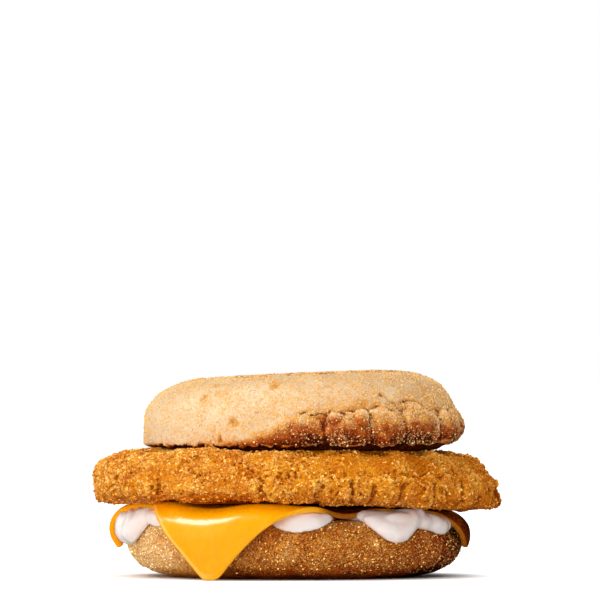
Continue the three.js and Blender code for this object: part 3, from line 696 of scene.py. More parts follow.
crown = {
    "skin": {
        "centreX": 2.7 * mm, "focusRadius": 29 * mm, "focusHeight": 45.5 * mm,
        "turns": 760, "frontCrowding": 0.3, "below": 4, "fan": [(-90, 6), (-40, 60), (20, 40)], "above": 14,
    },
    "easing": 12,
    "foot": 36.1 * mm,
    "side": {"radii": (26 * mm, 34 * mm), "facing": (-0.85, -0.5)},
    "rim": (36 * mm, 40 * mm),
    # The cut face sags onto the patty, so that no gap shows through
    "cutFace": {"facing": (-0.5, -0.9), "radii": (41 * mm, 38 * mm), "sag": 0.8 * mm},
    # Cracks: half width and depth, and points of turn and height, in mm
    "cracks": [
        (0.38, 0.9, [(-1.6, 45.3), (5.8, 45.7), (15.5, 46.3), (21.4, 47.1), (26.8, 47.4), (30.5, 46.5)]),
        (0.6, 1.6, [(30.5, 46.5), (33.4, 45.4), (35.3, 43.8), (36.8, 41.8), (37.2, 40.3), (36, 38)]),
        (0.42, 1.6, [
            (29.2, 51.1), (31, 50.3), (33, 48.6), (36, 48.4), (39.6, 48.9), (42.1, 48.9), (45.6, 48),
            (48.8, 46.9), (52.2, 46), (54.6, 46.5), (58.5, 46.7), (64.4, 46.1), (69.8, 44),
        ]),
        (0.3, 0.5, [(33, 48.6), (35, 47.4), (36.8, 47.6)]),
        (0.5, 1.4, [(96, 53), (88, 52), (80, 50), (71, 47.2), (72, 44.4), (71, 42), (72, 39.5)]),
        (0.45, 1.5, [(99, 45.4), (90, 44.7), (80, 44), (77, 42), (78, 39.5)]),
        (0.7, 1.1, [(7.4, 42.5), (6.6, 39), (7.4, 37)]),
        (0.7, 1.3, [(22.6, 43.5), (22.8, 40), (24, 37)]),
        (1.1, 1.2, [(55.5, 43.5), (57.5, 41), (59.5, 39.4), (60, 37.5)]),
    ],
    # How the cracks stray in height and in turn, and how their depth varies about its mean share
    "cracksStray": {"height": (2.2 * mm, 0.7 * mm, 41), "turn": (3.4 * mm, 1.6, 27)},
    "crackDepths": {"mean": 0.55, "varies": (3 * mm, 0.45, 39)},
    # Lumps that swelled out under the cracks: turn, height, half of each, and swell, in mm
    "lumps": [
        (1.2, 39.8, 6.4, 5.6, 1.2), (14.6, 39.9, 9.6, 6.4, 2.2), (30.0, 41.2, 8.2, 6.6, 2.3),
        (45.6, 43.0, 9.6, 6.4, 2.2), (50.8, 40.0, 4.2, 3.2, 2.3), (64.0, 41.8, 7.6, 5.6, 2.0),
        (83, 42.4, 9.5, 3.6, 0.6), (10.8, 43.9, 3.2, 2.5, 2.2), (19.5, 43.8, 3.4, 3.0, 2.5),
        (27.6, 39.4, 3.8, 3.0, 2.6),
    ],
    "lumpOutlines": [(3.2 * mm, 0.22, 40), (1.4 * mm, 0.1, 28)],
    "lumpsBegin": (-0.6 * mm, 2.4 * mm),  # above the foot
    # Under the lumps the edge is undercut
    "undercut": {"turns": (-2, 10, 84, 110), "heights": (2.2 * mm, 0), "depth": 2.0 * mm},
    "fills": [(92, 48.0, 34, 6.0, -1.5), (92, 41.5, 26, 4.5, -0.7)],
    # Golden dimples: turn, height, radius, how many times as high as wide, and depth, in mm
    "dimples": [
        (-40, 50.0, 2.0, 1.1, 0.2), (-26, 43.2, 2.3, 1.0, 0.6),
        (-31.3, 38.6, 1.0, 2.4, 0.5), (-12, 53.2, 2.0, 0.7, 0.2),
        (-40, 53.4, 1.8, 0.6, 0.2),
    ],
    "dimpleOutline": (1.1 * mm, 0.6 * mm, 42),
    # Upper line of the browned part: turn, height in mm, and how brown it begins
    "brownLine": [
        (-75, 36.6, 0.3), (-45, 37.2, 0.3), (-32, 38, 0.3), (-24, 38.8, 0.3), (-18, 40.2, 0.32),
        (-12, 42, 0.36), (-5, 44.4, 0.42), (-1.6, 45.3, 0.5), (5.8, 45.7, 0.54), (15.5, 46.3, 0.48),
        (21.4, 47.1, 0.36), (26.8, 47.4, 0.32), (30.5, 46.9, 0.32), (33.4, 47.4, 0.3), (39.6, 48.9, 0.18),
        (45.6, 48, 0.2), (52, 46, 0.28), (58.5, 46.7, 0.28), (64.4, 46.1, 0.26), (70, 45.5, 0.3),
        (80, 44.5, 0.36), (92, 42, 0.4), (104, 36.6, 0.4),
    ],
    # How softly that line fades, and the turns over which it sharpens and the brown part grows lumpy
    "brownEdge": {"sharp": 0.7 * mm, "softer": 3.0 * mm, "sharpens": (-4, 12), "lumpy": (-10, 8)},
    "layers": {  # width, depth and seed
        "swells": (8 * mm, 0.3 * mm, 31),
        "dents": (2.6 * mm, 0.12 * mm, 32),
        "tooth": (0.8 * mm, 0.06 * mm, 33),
        "blisters": (2.4 * mm, 0.35 * mm, 34),
        "beads": (1.0 * mm, 0.26 * mm, 35),
        "rag": (1.5 * mm, 0.5 * mm, 36),
        "teeth": (2.2 * mm, 1.1 * mm, 37),
        "fineTeeth": (0.9 * mm, 0.6 * mm, 38),
        "scallops": (3.2 * mm, 0.7 * mm, 30),
    },
    "mounds": {"least": 0.3, "reach": 0.8},
    "moundsSink": 0.3 * mm,
    # The lower edge is torn: pale teeth over a hollow cut, darker partly from toasting and partly as painted
    # shade. Heights are above the foot.
    "tear": {
        "height": 0.6 * mm, "edge": 0.25 * mm, "ragged": (2.1 * mm, 0.5 * mm), "hollow": 0.8 * mm,
        "hollowTurns": (16, 4), "smooths": 0.6,
    },
    "browning": {
        "plain": 0.1, "clouds": (9 * mm, 0.08, 43), "speckles": (2.6 * mm, 0.07, 44), "dimples": 0.3,
        "rightwards": [(0.05, -40, 0), (0.04, 5, 70)],
        "deepest": 1.12, "deepens": 1.2, "uneven": (1.8 * mm, 0.14, 45),
        "shadeBetweenLumps": 0.16, "lumps": 0.12, "litLumpTops": 0.34, "lumpFull": 0.9 * mm,
        "warm": 0.34, "warmAbove": 5.5 * mm, "warmTurns": (-16, 4), "warmUneven": (2.2 * mm, 0.12, 29),
        "tearEdge": 0.52, "tearEdgeHeight": 0.9 * mm, "belowTear": 0.5, "tearUnderLumps": 0.3,
        "cutFace": 0.95, "cracks": 0.72, "cracksInBrown": 0.4,
    },
    # The flat top that lay on the griddle
    "griddled": {
        "radius": 30.5 * mm, "edge": 0.03, "frays": (5 * mm, 1.5 * mm, 47), "facing": (0.8, 0.95),
        "tone": 0.42, "marks": (3.5 * mm, 0.5, 48),
    },
    # Where grains lie: more to the right, on the lumps and on top, in patches, and few in the cracks
    "strewn": {
        "plain": 0.75, "rightwards": [(0.35, 10, 70)], "lumpy": 1.1, "upwards": [(0.3, 52 * mm, 56 * mm)],
        "least": 0.4, "patches": (5 * mm, 49, -0.3, 0.6), "offCracks": 0.85,
    },
    "paleRelief": 0.35,  # share of the relief that shows where the crust is pale
    "reliefBlur": 10,
    "reliefFull": 0.28 * mm,
    "grains": {
        "count": 23000, "size": (0.32 * mm, 0.88 * mm), "fewLarge": 1.9, "fewBright": 2.2,
        "slimness": (0.6, 1.0), "flatness": (0.5, 1.0), "tilt": 0.6, "lift": 0.14, "form": grainForm,
    },
    "look": {
        "tones": {
            "Pale": (232, 211, 178), "Golden": (225, 157, 70), "Brown": (176, 76, 8), "Burnt": (66, 16, 0),
            "Pale Pit": (222, 170, 96), "Pit": (84, 24, 0), "Peak": (246, 226, 190),
        },
        "grain": {
            "perMetre": 2100.0, "warp": 0.35 * mm, "toast": 0.3, "gap": 0.4, "light": 0.9,
            "depth": 0.05 * mm,
        },
        "patches": {"scale": 110.0, "swing": 0.3},
        "reliefShare": 0.8,
        "pitDepth": 0.75,
        "roughness": (0.78, 0.5),
        "shader": {
            "Subsurface Weight": 0.15, "Subsurface Radius": (1, 0.6, 0.3), "Subsurface Scale": 1.5 * mm,
            "Specular IOR Level": 0.16,
        },
    },
    "grainLook": {
        "dull": (238, 208, 164), "bright": (255, 190, 40), "glint": 0.3,
        "brownDull": (160, 66, 4), "brownBright": (255, 222, 150), "turnsBrown": (0.35, 0.75),
        "dust": 1500.0, "roughness": (0.4, 0.18),
        "shader": {"Specular IOR Level": 0.35},
    },
}


# Distance along the crust from each point to a line of turns and heights
def awayFromLine(turn, radius, height, line):
    distance = np.full(turn.shape, 1.0)
    reach = np.median(radius[len(radius) // 2])
    here = np.stack([np.radians(turn) * reach, height], axis=-1)
    for (turnA, heightA), (turnB, heightB) in zip(line, line[1:]):
        start = np.array([math.radians(turnA) * reach, heightA * mm])
        run = np.array([math.radians(turnB) * reach, heightB * mm]) - start
        share = np.clip(((here - start) @ run) / (run @ run), 0, 1)[..., None]
        distance = np.minimum(distance, np.linalg.norm(here - start - share * run, axis=-1))
    return distance


# How far the lumps under the cracks swell out, and how far up its lump each point lies, from -1 to 1
def crownLumps(grid, turn, height):
    swollen, upItsLump = np.zeros(turn.shape), np.zeros(turn.shape)
    outline = sum(noiseOf(grid, layer) for layer in crown["lumpOutlines"])
    for where, level, halfTurn, halfHeight, swell in crown["lumps"]:
        up = (height / mm - level) / halfHeight
        off = np.hypot((turn - where) / halfTurn, up) + outline
        here = swell * mm * np.sqrt(np.clip(1 - off**2, 0, 1))
        upItsLump = np.where(here > swollen, up, upItsLump)
        swollen = np.maximum(swollen, here)
    return swollen * ramp(height - crown["foot"], *crown["lumpsBegin"]), upItsLump


# How deep the cracks go in, and how much each point lies in one
def crownCracks(grid, turn, radius, height, side):
    strayed = height + noiseOf(grid, crown["cracksStray"]["height"])
    strayedTurn = turn + noiseOf(grid, crown["cracksStray"]["turn"])
    share = crown["crackDepths"]["mean"] + noiseOf(grid, crown["crackDepths"]["varies"])
    depth, cracked = np.zeros(turn.shape), np.zeros(turn.shape)
    for halfWidth, crackDepth, points in crown["cracks"]:
        away = awayFromLine(strayedTurn, radius, strayed, points)
        groove = np.exp(-((away / (halfWidth * mm)) ** 2)) * side * share
        depth = depth + crackDepth * mm * groove
        cracked = np.maximum(cracked, groove)
    return depth, cracked


# The same of the golden dimples
def crownDimples(grid, turn, radius, height):
    outline = noiseOf(grid, crown["dimpleOutline"])
    depth, dimpled = np.zeros(turn.shape), np.zeros(turn.shape)
    for where, level, size, tallness, dimpleDepth in crown["dimples"]:
        away = np.hypot(np.radians(turn - where) * radius, (height - level * mm) / tallness)
        dimple = hump(away + outline, size * mm)
        depth = depth + dimpleDepth * mm * dimple
        dimpled = np.maximum(dimpled, dimple)
    return depth, dimpled


def makeCrown():
    layers, foot = crown["layers"], crown["foot"]
    grid, normals, turn, radius, height = startSkin("muffin_crown", crown)
    facing = normals[..., 2]
    side = ramp(radius, *crown["side"]["radii"]) * ramp(facing, *crown["side"]["facing"])
    atRim = ramp(radius, *crown["rim"])

    lineTurns, lineHeights, lineTones = zip(*crown["brownLine"])
    top = np.interp(turn, lineTurns, lineHeights, left=0, right=0) * mm + noiseOf(grid, layers["scallops"])
    begins = np.interp(turn, lineTurns, lineTones)
    edge = crown["brownEdge"]
    softness = edge["sharp"] + edge["softer"] * (1 - ramp(turn, *edge["sharpens"]))
    brownPart = ramp(top - height, -softness, softness) * side
    lumpy = brownPart * ramp(turn, *edge["lumpy"])
    mounds = sum(moundsOf(grid, layers[name], **crown["mounds"]) for name in ("blisters", "beads"))
    raised = noiseOf(grid, layers["swells"]) * side + lumpy * (mounds - crown["moundsSink"])
    raised = raised + noiseOf(grid, layers["dents"]) + noiseOf(grid, layers["tooth"])
    swollen, upItsLump = crownLumps(grid, turn, height)
    raised = raised + swollen * atRim
    raised = raised + fullness(turn, height, crown["fills"]) * side
    crackDepth, cracked = crownCracks(grid, turn, radius, height, side)
    dimpleDepth, dimpled = crownDimples(grid, turn, radius, height)
    raised = raised - crackDepth - dimpleDepth

    tear, undercut = crown["tear"], crown["undercut"]
    torn = foot + tear["height"] + noiseOf(grid, layers["teeth"]) + noiseOf(grid, layers["fineTeeth"])
    belowTear = ramp(height - torn, tear["edge"], -tear["edge"]) * atRim
    lumpy = lumpy * (1 - tear["smooths"] * belowTear)
    raised = raised + ramp(height - foot, *tear["ragged"]) * atRim * noiseOf(grid, layers["rag"])
    raised = raised - tear["hollow"] * belowTear * ramp(turn, *tear["hollowTurns"])
    underLumps = window(turn, *undercut["turns"]) * atRim
    raised = raised - undercut["depth"] * underLumps * ramp(height - foot, *undercut["heights"])
    grid, relief = raiseSkin(grid, normals, raised, crown)
    relief = relief * (crown["paleRelief"] + (1 - crown["paleRelief"]) * np.maximum(lumpy, cracked))

    tan = crown["browning"]
    browning = tan["plain"] + noiseOf(grid, tan["clouds"]) + noiseOf(grid, tan["speckles"])
    browning = browning + trends(turn, tan["rightwards"]) * side + tan["dimples"] * dimpled
    almostNone = 0.001 * mm
    into = np.clip((top - height) / (top - foot + almostNone), 0, 1)
    # Browner towards the foot of the browned part: partly toasting, partly painted shade
    deepening = begins + (tan["deepest"] - begins) * into ** tan["deepens"] + noiseOf(grid, tan["uneven"])
    # Painted light and shade on the lumps: each lump paler towards its top and darker towards its foot, and
    # the crust between them darker
    onLump = ramp(swollen, 0, tan["lumpFull"]) * (tan["lumps"] + tan["litLumpTops"] * upItsLump)
    deepening = deepening + lumpy * (tan["shadeBetweenLumps"] - onLump)
    warmed = ramp(height - top, tan["warmAbove"], 0) * ramp(turn, *tan["warmTurns"]) * side
    browning = np.maximum(browning, tan["warm"] * warmed + noiseOf(grid, tan["warmUneven"]))
    browning = np.maximum(browning, brownPart * deepening)
    # A toasted line along the torn edge; the hollow below it and the edge under the lumps darker, partly
    # toasting and partly painted shade
    onTear = ramp(height - torn, tan["tearEdgeHeight"], 0) * side
    darkTear = tan["belowTear"] * belowTear + tan["tearUnderLumps"] * underLumps * onTear
    browning = np.maximum(browning, tan["tearEdge"] * onTear + darkTear)
    griddle = crown["griddled"]
    frayed = (radius + noiseOf(grid, griddle["frays"])) / griddle["radius"]
    griddled = ramp(frayed, 1 + griddle["edge"], 1 - griddle["edge"]) * ramp(facing, *griddle["facing"])
    browning = np.maximum(browning, griddled * (griddle["tone"] + noiseOf(grid, griddle["marks"])))
    cutFace = crown["cutFace"]
    under = ramp(facing, *cutFace["facing"])
    grid[..., 2] -= cutFace["sag"] * under * ramp(radius, *cutFace["radii"])
    browning = np.maximum(browning, tan["cutFace"] * under)
    # Darker in the cracks: painted shade
    browning = np.maximum(browning, cracked * (tan["cracks"] + tan["cracksInBrown"] * lumpy))
    crust = skinPiece("crownCrust", grid, {"browning": browning, "relief": relief})
    finishPiece(crust, bakedMaterial("muffinCrust", crown["look"]), "muffin_crown")

    strewn = crown["strewn"]
    floury = strewn["plain"] + trends(turn, strewn["rightwards"]) + strewn["lumpy"] * lumpy
    floury = floury + trends(height, strewn["upwards"])
    chance = floury * (strewn["least"] + patchesOf(grid, strewn["patches"])) * (1 - under)
    chance = chance * (1 - strewn["offCracks"] * cracked)
    grains = scatterChips("crownGrains", grid, chance, crown["grains"], browning)
    finishPiece(grains, chipMaterial("cornmealOnCrown", crown["grainLook"]), "muffin_crown", replaces=False)


# Lower muffin half

heel = {
    "skin": {
        "centreX": 0.0, "focusRadius": 33 * mm, "focusHeight": 9 * mm,
        "turns": 820, "frontCrowding": 0.3, "below": 16, "fan": [(-90, 76)], "above": 6,
    },
    "easing": 10,
    "layers": {
        "swells": (7 * mm, 0.2 * mm, 51),
        "dents": (2.4 * mm, 0.12 * mm, 52),
        "tooth": (0.75 * mm, 0.12 * mm, 53),
    },
    "foot": (-0.7, -0.95),  # it stands on what faces down this much
    "cutFace": (0.9, 0.98),
    "reliefBlur": 8,
    "reliefFull": 0.2 * mm,
    # Paler and darker sides as turn, half width in degrees and how much: partly the toasting, partly painted
    # light on the left and painted shade on the right
    "browning": {
        "plain": 0.47, "palestWhereLit": (-78, 66, 0.41), "darkestWhereShaded": (95, 62, 0.72),
        "clouds": (5 * mm, 0.15, 55), "cloudsOffPale": 2 / 3, "speckles": (2 * mm, 0.06, 56),
        "byHeight": [(0.3, 4.5 * mm, 0.5 * mm), (-0.1, 12 * mm, 17 * mm)],
    },
    # Where grains lie: in patches, above the foot, and few on the dark side
    "strewn": {
        "least": 0.7, "gain": 0.6, "patches": (3 * mm, 57, -0.4, 0.6), "heights": (0.4 * mm, 1.2 * mm),
        "offDark": 0.8,
    },
    "grains": {
        "count": 20000, "size": (0.34 * mm, 0.84 * mm), "fewLarge": 1.5, "fewBright": 2.4,
        "slimness": (0.55, 1.0), "flatness": (0.5, 1.0), "tilt": 0.6, "lift": 0.16, "form": grainForm,
    },
    "look": {
        "tones": {
            "Pale": (255, 232, 176), "Golden": (240, 160, 50), "Brown": (190, 82, 2), "Burnt": (58, 12, 0),
            "Pale Pit": (176, 104, 30), "Pit": (84, 22, 0), "Peak": (255, 236, 176),
        },
        "grain": {
            "perMetre": 2000.0, "warp": 0.3 * mm, "toast": 0.3, "gap": 0.85, "light": 0.9,
            "depth": 0.06 * mm,
        },
        "patches": {"scale": 140.0, "swing": 0.12},
        "reliefShare": 0.8,
        "pitDepth": 0.85,
        "roughness": (0.75, 0.5),
        "shader": {
            "Subsurface Weight": 0.1, "Subsurface Radius": (1, 0.5, 0.2), "Subsurface Scale": 1.2 * mm,
            "Specular IOR Level": 0.12,
        },
    },
    "grainLook": {
        "dull": (230, 174, 84), "bright": (255, 240, 196), "glint": 0.65,
        "brownDull": (170, 70, 0), "brownBright": (255, 212, 118), "turnsBrown": (0.14, 0.46),
        "dust": 1500.0, "roughness": (0.4, 0.18),
        "shader": {"Specular IOR Level": 0.6},
    },
}


def makeHeel():
    grid, normals, turn, _, height = startSkin("muffin_heel", heel)
    facing = normals[..., 2]
    raised = sum(noiseOf(grid, layer) for layer in heel["layers"].values())
    onFoot = ramp(facing, *heel["foot"])
    raised = np.where(onFoot > 0.5, np.minimum(raised, 0), raised)
    grid, relief = raiseSkin(grid, normals, raised, heel)
    grid[..., 2] = np.maximum(grid[..., 2], 0)

    tan = heel["browning"]
    paleTurn, paleHalf, paler = tan["palestWhereLit"]
    darkTurn, darkHalf, darker = tan["darkestWhereShaded"]
    # Painted light on the left side and painted shade on the right, with the toasting
    palestWhereLit = hump(turnsFrom(turn, paleTurn), paleHalf)
    darkestWhereShaded = hump(turnsFrom(turn, darkTurn), darkHalf)
    browning = tan["plain"] - paler * palestWhereLit + darker * darkestWhereShaded + noiseOf(grid, tan["speckles"])
    browning = browning + (1 - tan["cloudsOffPale"] * palestWhereLit) * noiseOf(grid, tan["clouds"])
    browning = browning + trends(height, tan["byHeight"])
    crust = skinPiece("heelCrust", grid, {"browning": browning, "relief": relief})
    finishPiece(crust, bakedMaterial("heelCrust", heel["look"]), "muffin_heel")

    strewn = heel["strewn"]
    chance = strewn["least"] + strewn["gain"] * patchesOf(grid, strewn["patches"])
    chance = chance * (1 - ramp(facing, *heel["cutFace"])) * (1 - onFoot)
    chance = chance * ramp(height, *strewn["heights"]) * (1 - strewn["offDark"] * darkestWhereShaded)
    grains = scatterChips("heelGrains", grid, chance, heel["grains"], browning)
    finishPiece(grains, chipMaterial("cornmealOnHeel", heel["grainLook"]), "muffin_heel", replaces=False)


# Cheese slice, with its lengths in mm where no unit stands

cheese = {
    "thickness": 1.5,
    "topHeight": 20.6,
    "tip": {"slope": -0.045, "ease": 10},  # it tips down towards +X
    # Distance where it bends down, radius of the bend and its angle, in front, right, behind and left
    "bends": [(46.5, 41.7, 42.5, 44), (8, 7.6, 8, 8.3), (92, 94, 96, 112)],
    # Corners: turn, reach from the middle, reach where it is cut off blunt, and how hollow its sides are
    "corners": [
        (-26, 73.1, 70.5, 1.36, 1.44), (75, 57.4, 56.5, 3.4, 1.5), (163, 63, 61.5, 1.6, 1.6),
        (258, 62.8, 61.8, 1.5, 2.2),
    ],
    "sides": [(20, 41.6), (119, 42.5), (209, 42.8), (298, 45.3)],  # turn and reach of the nearest point
    "reachEasing": 10,
    # Waves of the rim: turn, half width in degrees, distance where they begin, and height
    "waves": [(19.5, 13, 28, -1.7), (-31, 14, 34, -0.9), (-50, 10, 38, 0.7), (-10, 14, 38, 0.5)],
    "wavesFull": 41.6,
    "edgeBead": {"wide": 0.5, "high": 0.08, "in": 0.6},  # the rim of the cut edge stands up a little
    "stepsPerSpan": 62,
    "cornerEase": 1.35,
    "rings": 64,
    "ringEase": 0.8,
    "edgeSteps": 5,
    "edgeRound": 0.45,
    "edgeFlatness": 0.6,
    "swells": [(7 * mm, 0.1 * mm, 61), (2.2 * mm, 0.012 * mm, 62)],
    # Painted shade: darker where it hides between the sauce lobes and where it hangs down on the right, less
    # on the cut edge
    "paintedShadeTurns": [(6, 13, 30, 37), (44, 62, 120, 150)],
    "cutStaysLight": 0.2,
    # Painted light: the flap on the left glows, and a little the fold in front where the patty shades it
    "flapTurns": (-50, -66, -118, -132),
    "fold": {"distance": 49, "half": 9, "share": 0.6},
    # A painted highlight along the rim of the front corner's left side
    "litRim": {"turns": (-62, -54, -27, -24), "share": 0.7},
    "look": {
        "base": (255, 170, 0), "warm": (255, 162, 0), "cut": (255, 192, 36), "deep": (152, 62, 0),
        "edgeLight": (255, 222, 130), "glow": 0.3, "cutShare": 0.6,
        "clouds": {"scale": 60.0, "range": (0.35, 0.7)},
        "roughness": (0.22, 0.3),
        "wrinkles": {
            "stretch": (1.0, 1.0, 0.35), "leaning": (0.3, 0.9, 0.4), "scale": 800.0, "range": (0.35, 0.65),
            "depth": 0.05 * mm,
        },
        "shader": {
            "Subsurface Weight": 0.3, "Subsurface Radius": (1, 0.42, 0.03), "Subsurface Scale": 1.4 * mm,
            "Specular IOR Level": 0.55, "Coat Weight": 0.7, "Coat Roughness": 0.16,
        },
    },
}


def blended(turn, inFront, right, behind, left):
    across, front = np.sin(np.radians(turn)), np.cos(np.radians(turn))
    return front**2 * np.where(front > 0, inFront, behind) + across**2 * np.where(across > 0, right, left)


def cheeseReach(turn):
    for n, (here, reach, blunt, _, after) in enumerate(cheese["corners"]):
        sideTurn, sideReach = cheese["sides"][n]
        nextTurn, nextFull, nextBlunt, before, _ = cheese["corners"][(n + 1) % 4]
        past, toSide, toNext = (turn - here) % 360, (sideTurn - here) % 360, (nextTurn - here) % 360
        if past < toSide:
            return min(blunt, sideReach + (reach - sideReach) * (1 - past / toSide) ** after)
        if past < toNext:
            share = (past - toSide) / (toNext - toSide)
            return min(nextBlunt, sideReach + (nextFull - sideReach) * share**before)


# Points at a distance along the slice's upper face and some depth under it, in metres
def cheesePoint(turn, distance, depth):
    start, radius, angle = (blended(turn, *sides) for sides in cheese["bends"])
    fullBend = np.radians(angle)
    bend = np.clip((distance - start) / radius, 0, fullBend)
    straight = np.clip(distance - start - radius * fullBend, 0, None)
    out = np.minimum(distance, start) + (radius - depth) * np.sin(bend) + straight * np.cos(bend)
    down = radius * (1 - np.cos(bend)) + straight * np.sin(bend) + depth * np.cos(bend)
    x, y = out * np.sin(np.radians(turn)), -out * np.cos(np.radians(turn))
    tip = cheese["tip"]
    tipped = tip["slope"] / 2 * (x + np.hypot(x, tip["ease"]))
    wave = 0
    for where, halfWidth, begins, rise in cheese["waves"]:
        wave = wave + rise * hump(turn - where, halfWidth) * ramp(distance, begins, cheese["wavesFull"])
    return np.stack([x, y, cheese["topHeight"] + tipped - down + wave], axis=-1) * mm


# Turns round the slice, closer together at its corners
def cheeseTurns():
    turns = []
    shares = np.arange(cheese["stepsPerSpan"]) / cheese["stepsPerSpan"]
    for n, corner in enumerate(cheese["corners"]):
        here, side, ahead = corner[0], cheese["sides"][n][0], cheese["corners"][(n + 1) % 4][0]
        turns += list(here + (side - here) % 360 * shares ** cheese["cornerEase"])
        turns += list(side + (ahead - side) % 360 * (1 - (1 - shares) ** cheese["cornerEase"]))
    return turnsFrom(np.array(turns), 0)


def meltingCheese():
    look = cheese["look"]
    material, tree, shader = newMaterial("meltingCheese", look["shader"])
    place, wrinkles = surfacePlace(tree), look["wrinkles"]
    warmth = clouds(tree, place, look["clouds"]["scale"], 3.0)
    warmth = ranged(tree, warmth, *look["clouds"]["range"])
    cut = times(tree, skinValue(tree, "cutEdge"), look["cutShare"])
    tone = mixColours(tree, warmth, colour(*look["base"]), colour(*look["warm"]))
    tone = mixColours(tree, cut, tone, colour(*look["cut"]))
    # Painted shade
    tone = mixColours(tree, skinValue(tree, "paintedShade"), tone, colour(*look["deep"]))
    tone = mixColours(tree, skinValue(tree, "litRim"), tone, colour(*look["edgeLight"]))
    # Painted light: an emission glow on the flap and the fold
    glow = times(tree, skinValue(tree, "paintedGlow"), look["glow"])
    leaning = {"Vector": place, "Rotation": wrinkles["leaning"], "Scale": wrinkles["stretch"]}
    sweat = clouds(tree, put(tree, "Mapping", leaning).outputs[0], wrinkles["scale"], 3.0)
    feed(tree, shader, {
        "Base Color": tone, "Roughness": ranged(tree, sweat, *wrinkles["range"], *look["roughness"]),
        "Normal": bumps(tree, sweat, wrinkles["depth"]),
        "Emission Color": mixColours(tree, glow, black, colour(*look["base"])), "Emission Strength": 1.0,
    })
    return material


def makeCheese():
    turns = cheeseTurns()
    reach = eased(np.array([[cheeseReach(turn % 360) for turn in turns]]), cheese["reachEasing"])[0]
    thickness, edge = cheese["thickness"], cheese["edgeRound"]
    shares = np.linspace(0, 1, cheese["rings"] + 1)[1:] ** cheese["ringEase"]
    rings = [cheesePoint(turns, share * (reach - edge), thickness) for share in shares]
    for angle in np.radians(np.linspace(0, 180, cheese["edgeSteps"] + 2)[1:-1]):
        depth = thickness / 2 * (1 + math.cos(angle))
        out = edge * math.sin(angle) ** cheese["edgeFlatness"]
        rings.append(cheesePoint(turns, reach - edge + out, depth))
    rings += [cheesePoint(turns, share * (reach - edge), 0) for share in shares[::-1]]
    grid = np.array(rings)
    normals = skinNormals(grid)
    outside = np.linspace(0, 1, len(rings))[:, None] > 0.5
    swells = sum(noiseOf(grid, layer) for layer in cheese["swells"])
    grid = grid + normals * np.where(outside, swells, 0)[..., None]
    bead = cheese["edgeBead"]
    inward = np.array([(1 - share) * (reach - edge) for share in shares])
    inward = np.concatenate([inward, np.zeros((cheese["edgeSteps"], len(turns))), inward[::-1]])
    rim = np.exp(-(((inward - bead["in"]) / bead["wide"]) ** 2)) * outside
    grid = grid + normals * (bead["high"] * mm * rim)[..., None]

    cut = np.zeros(grid.shape[:2])
    cut[len(shares):len(shares) + cheese["edgeSteps"]] = 1
    around = turns + np.zeros(cut.shape)
    deep = sum(window(around, *span) for span in cheese["paintedShadeTurns"]) * (1 - cheese["cutStaysLight"] * cut)
    onFlap = window(around, *cheese["flapTurns"])
    fold, litRim = cheese["fold"], cheese["litRim"]
    onFold = fold["share"] * hump(reach - edge - inward - fold["distance"], fold["half"]) * (1 - deep)
    slicePiece = skinPiece("cheeseSlice", grid, {
        "cutEdge": cut * (1 - onFlap),
        "paintedShade": deep,
        "litRim": litRim["share"] * rim**2 * window(around, *litRim["turns"]),
        "paintedGlow": np.maximum(onFlap, onFold),
    })
    finishPiece(slicePiece, meltingCheese(), "cheese_slice")


# Sauce

sauce = {
    "voxel": 0.42 * mm,
    "smoothing": 20,
    "puff": 0.36 * mm,  # closes the CAD clearance round the sauce
    # Rounded dollops on the lobes: turn, distance from the axis, height, and half sizes out, along and
    # up, in mm
    "dollops": [
        (-74, 47.5, 13.9, 4.2, 4.6, 4.6), (-70, 46.8, 15.6, 2.2, 3.0, 2.6), (-58, 46.0, 17.0, 1.8, 4.0, 1.6),
        (47, 45.4, 18.4, 2.0, 2.4, 1.5), (38, 46.6, 16.9, 1.8, 5.0, 1.5), (28, 45.6, 16.9, 1.2, 3.0, 0.8),
        (50.5, 46.2, 15.7, 1.9, 3.8, 1.8), (60, 46.3, 14.8, 1.9, 5.0, 2.1),
    ],
    # Piped ridges at the top of the left lobe
    "swirl": {
        "turns": (-62, -70, -82, -92), "heights": (13.5 * mm, 16.5 * mm), "across": (0.91, 0, -0.41),
        "pitch": 1.9 * mm, "depth": 0.3 * mm, "sway": (4 * mm, 0.15, 72),
    },
    "ripples": (3.0 * mm, 0.12 * mm, 71),
    "paintedShadeOnSauceTurns": (12, 14, 21.5, 23.5),  # painted shade where the sauce lies in the patty's shadow
    "look": {
        "base": (251, 243, 240), "shade": (247, 233, 227), "paintedShadeOnSauce": (150, 66, 10),
        "clouds": {"scale": 180.0, "range": (0.3, 0.7), "depth": 0.08 * mm},
        "roughness": (0.22, 0.34),
        "shader": {
            "Subsurface Weight": 0.35, "Subsurface Radius": (1, 0.8, 0.65), "Subsurface Scale": 1.6 * mm,
            "Coat Weight": 0.3, "Coat Roughness": 0.12,
        },
    },
}


def creamySauce():
    look = sauce["look"]
    material, tree, shader = newMaterial("creamySauce", look["shader"])
    cloudy = clouds(tree, surfacePlace(tree), look["clouds"]["scale"], 3.0)
    shaded = ranged(tree, cloudy, *look["clouds"]["range"])
    tone = mixColours(tree, shaded, colour(*look["base"]), colour(*look["shade"]))
    # Painted shade where it lies under the patty
    tone = mixColours(tree, skinValue(tree, "paintedShadeOnSauce"), tone, colour(*look["paintedShadeOnSauce"]))
    feed(tree, shader, {
        "Base Color": tone,
        "Roughness": ranged(tree, cloudy, *look["clouds"]["range"], *look["roughness"]),
        "Normal": bumps(tree, cloudy, look["clouds"]["depth"]),
    })
    return material


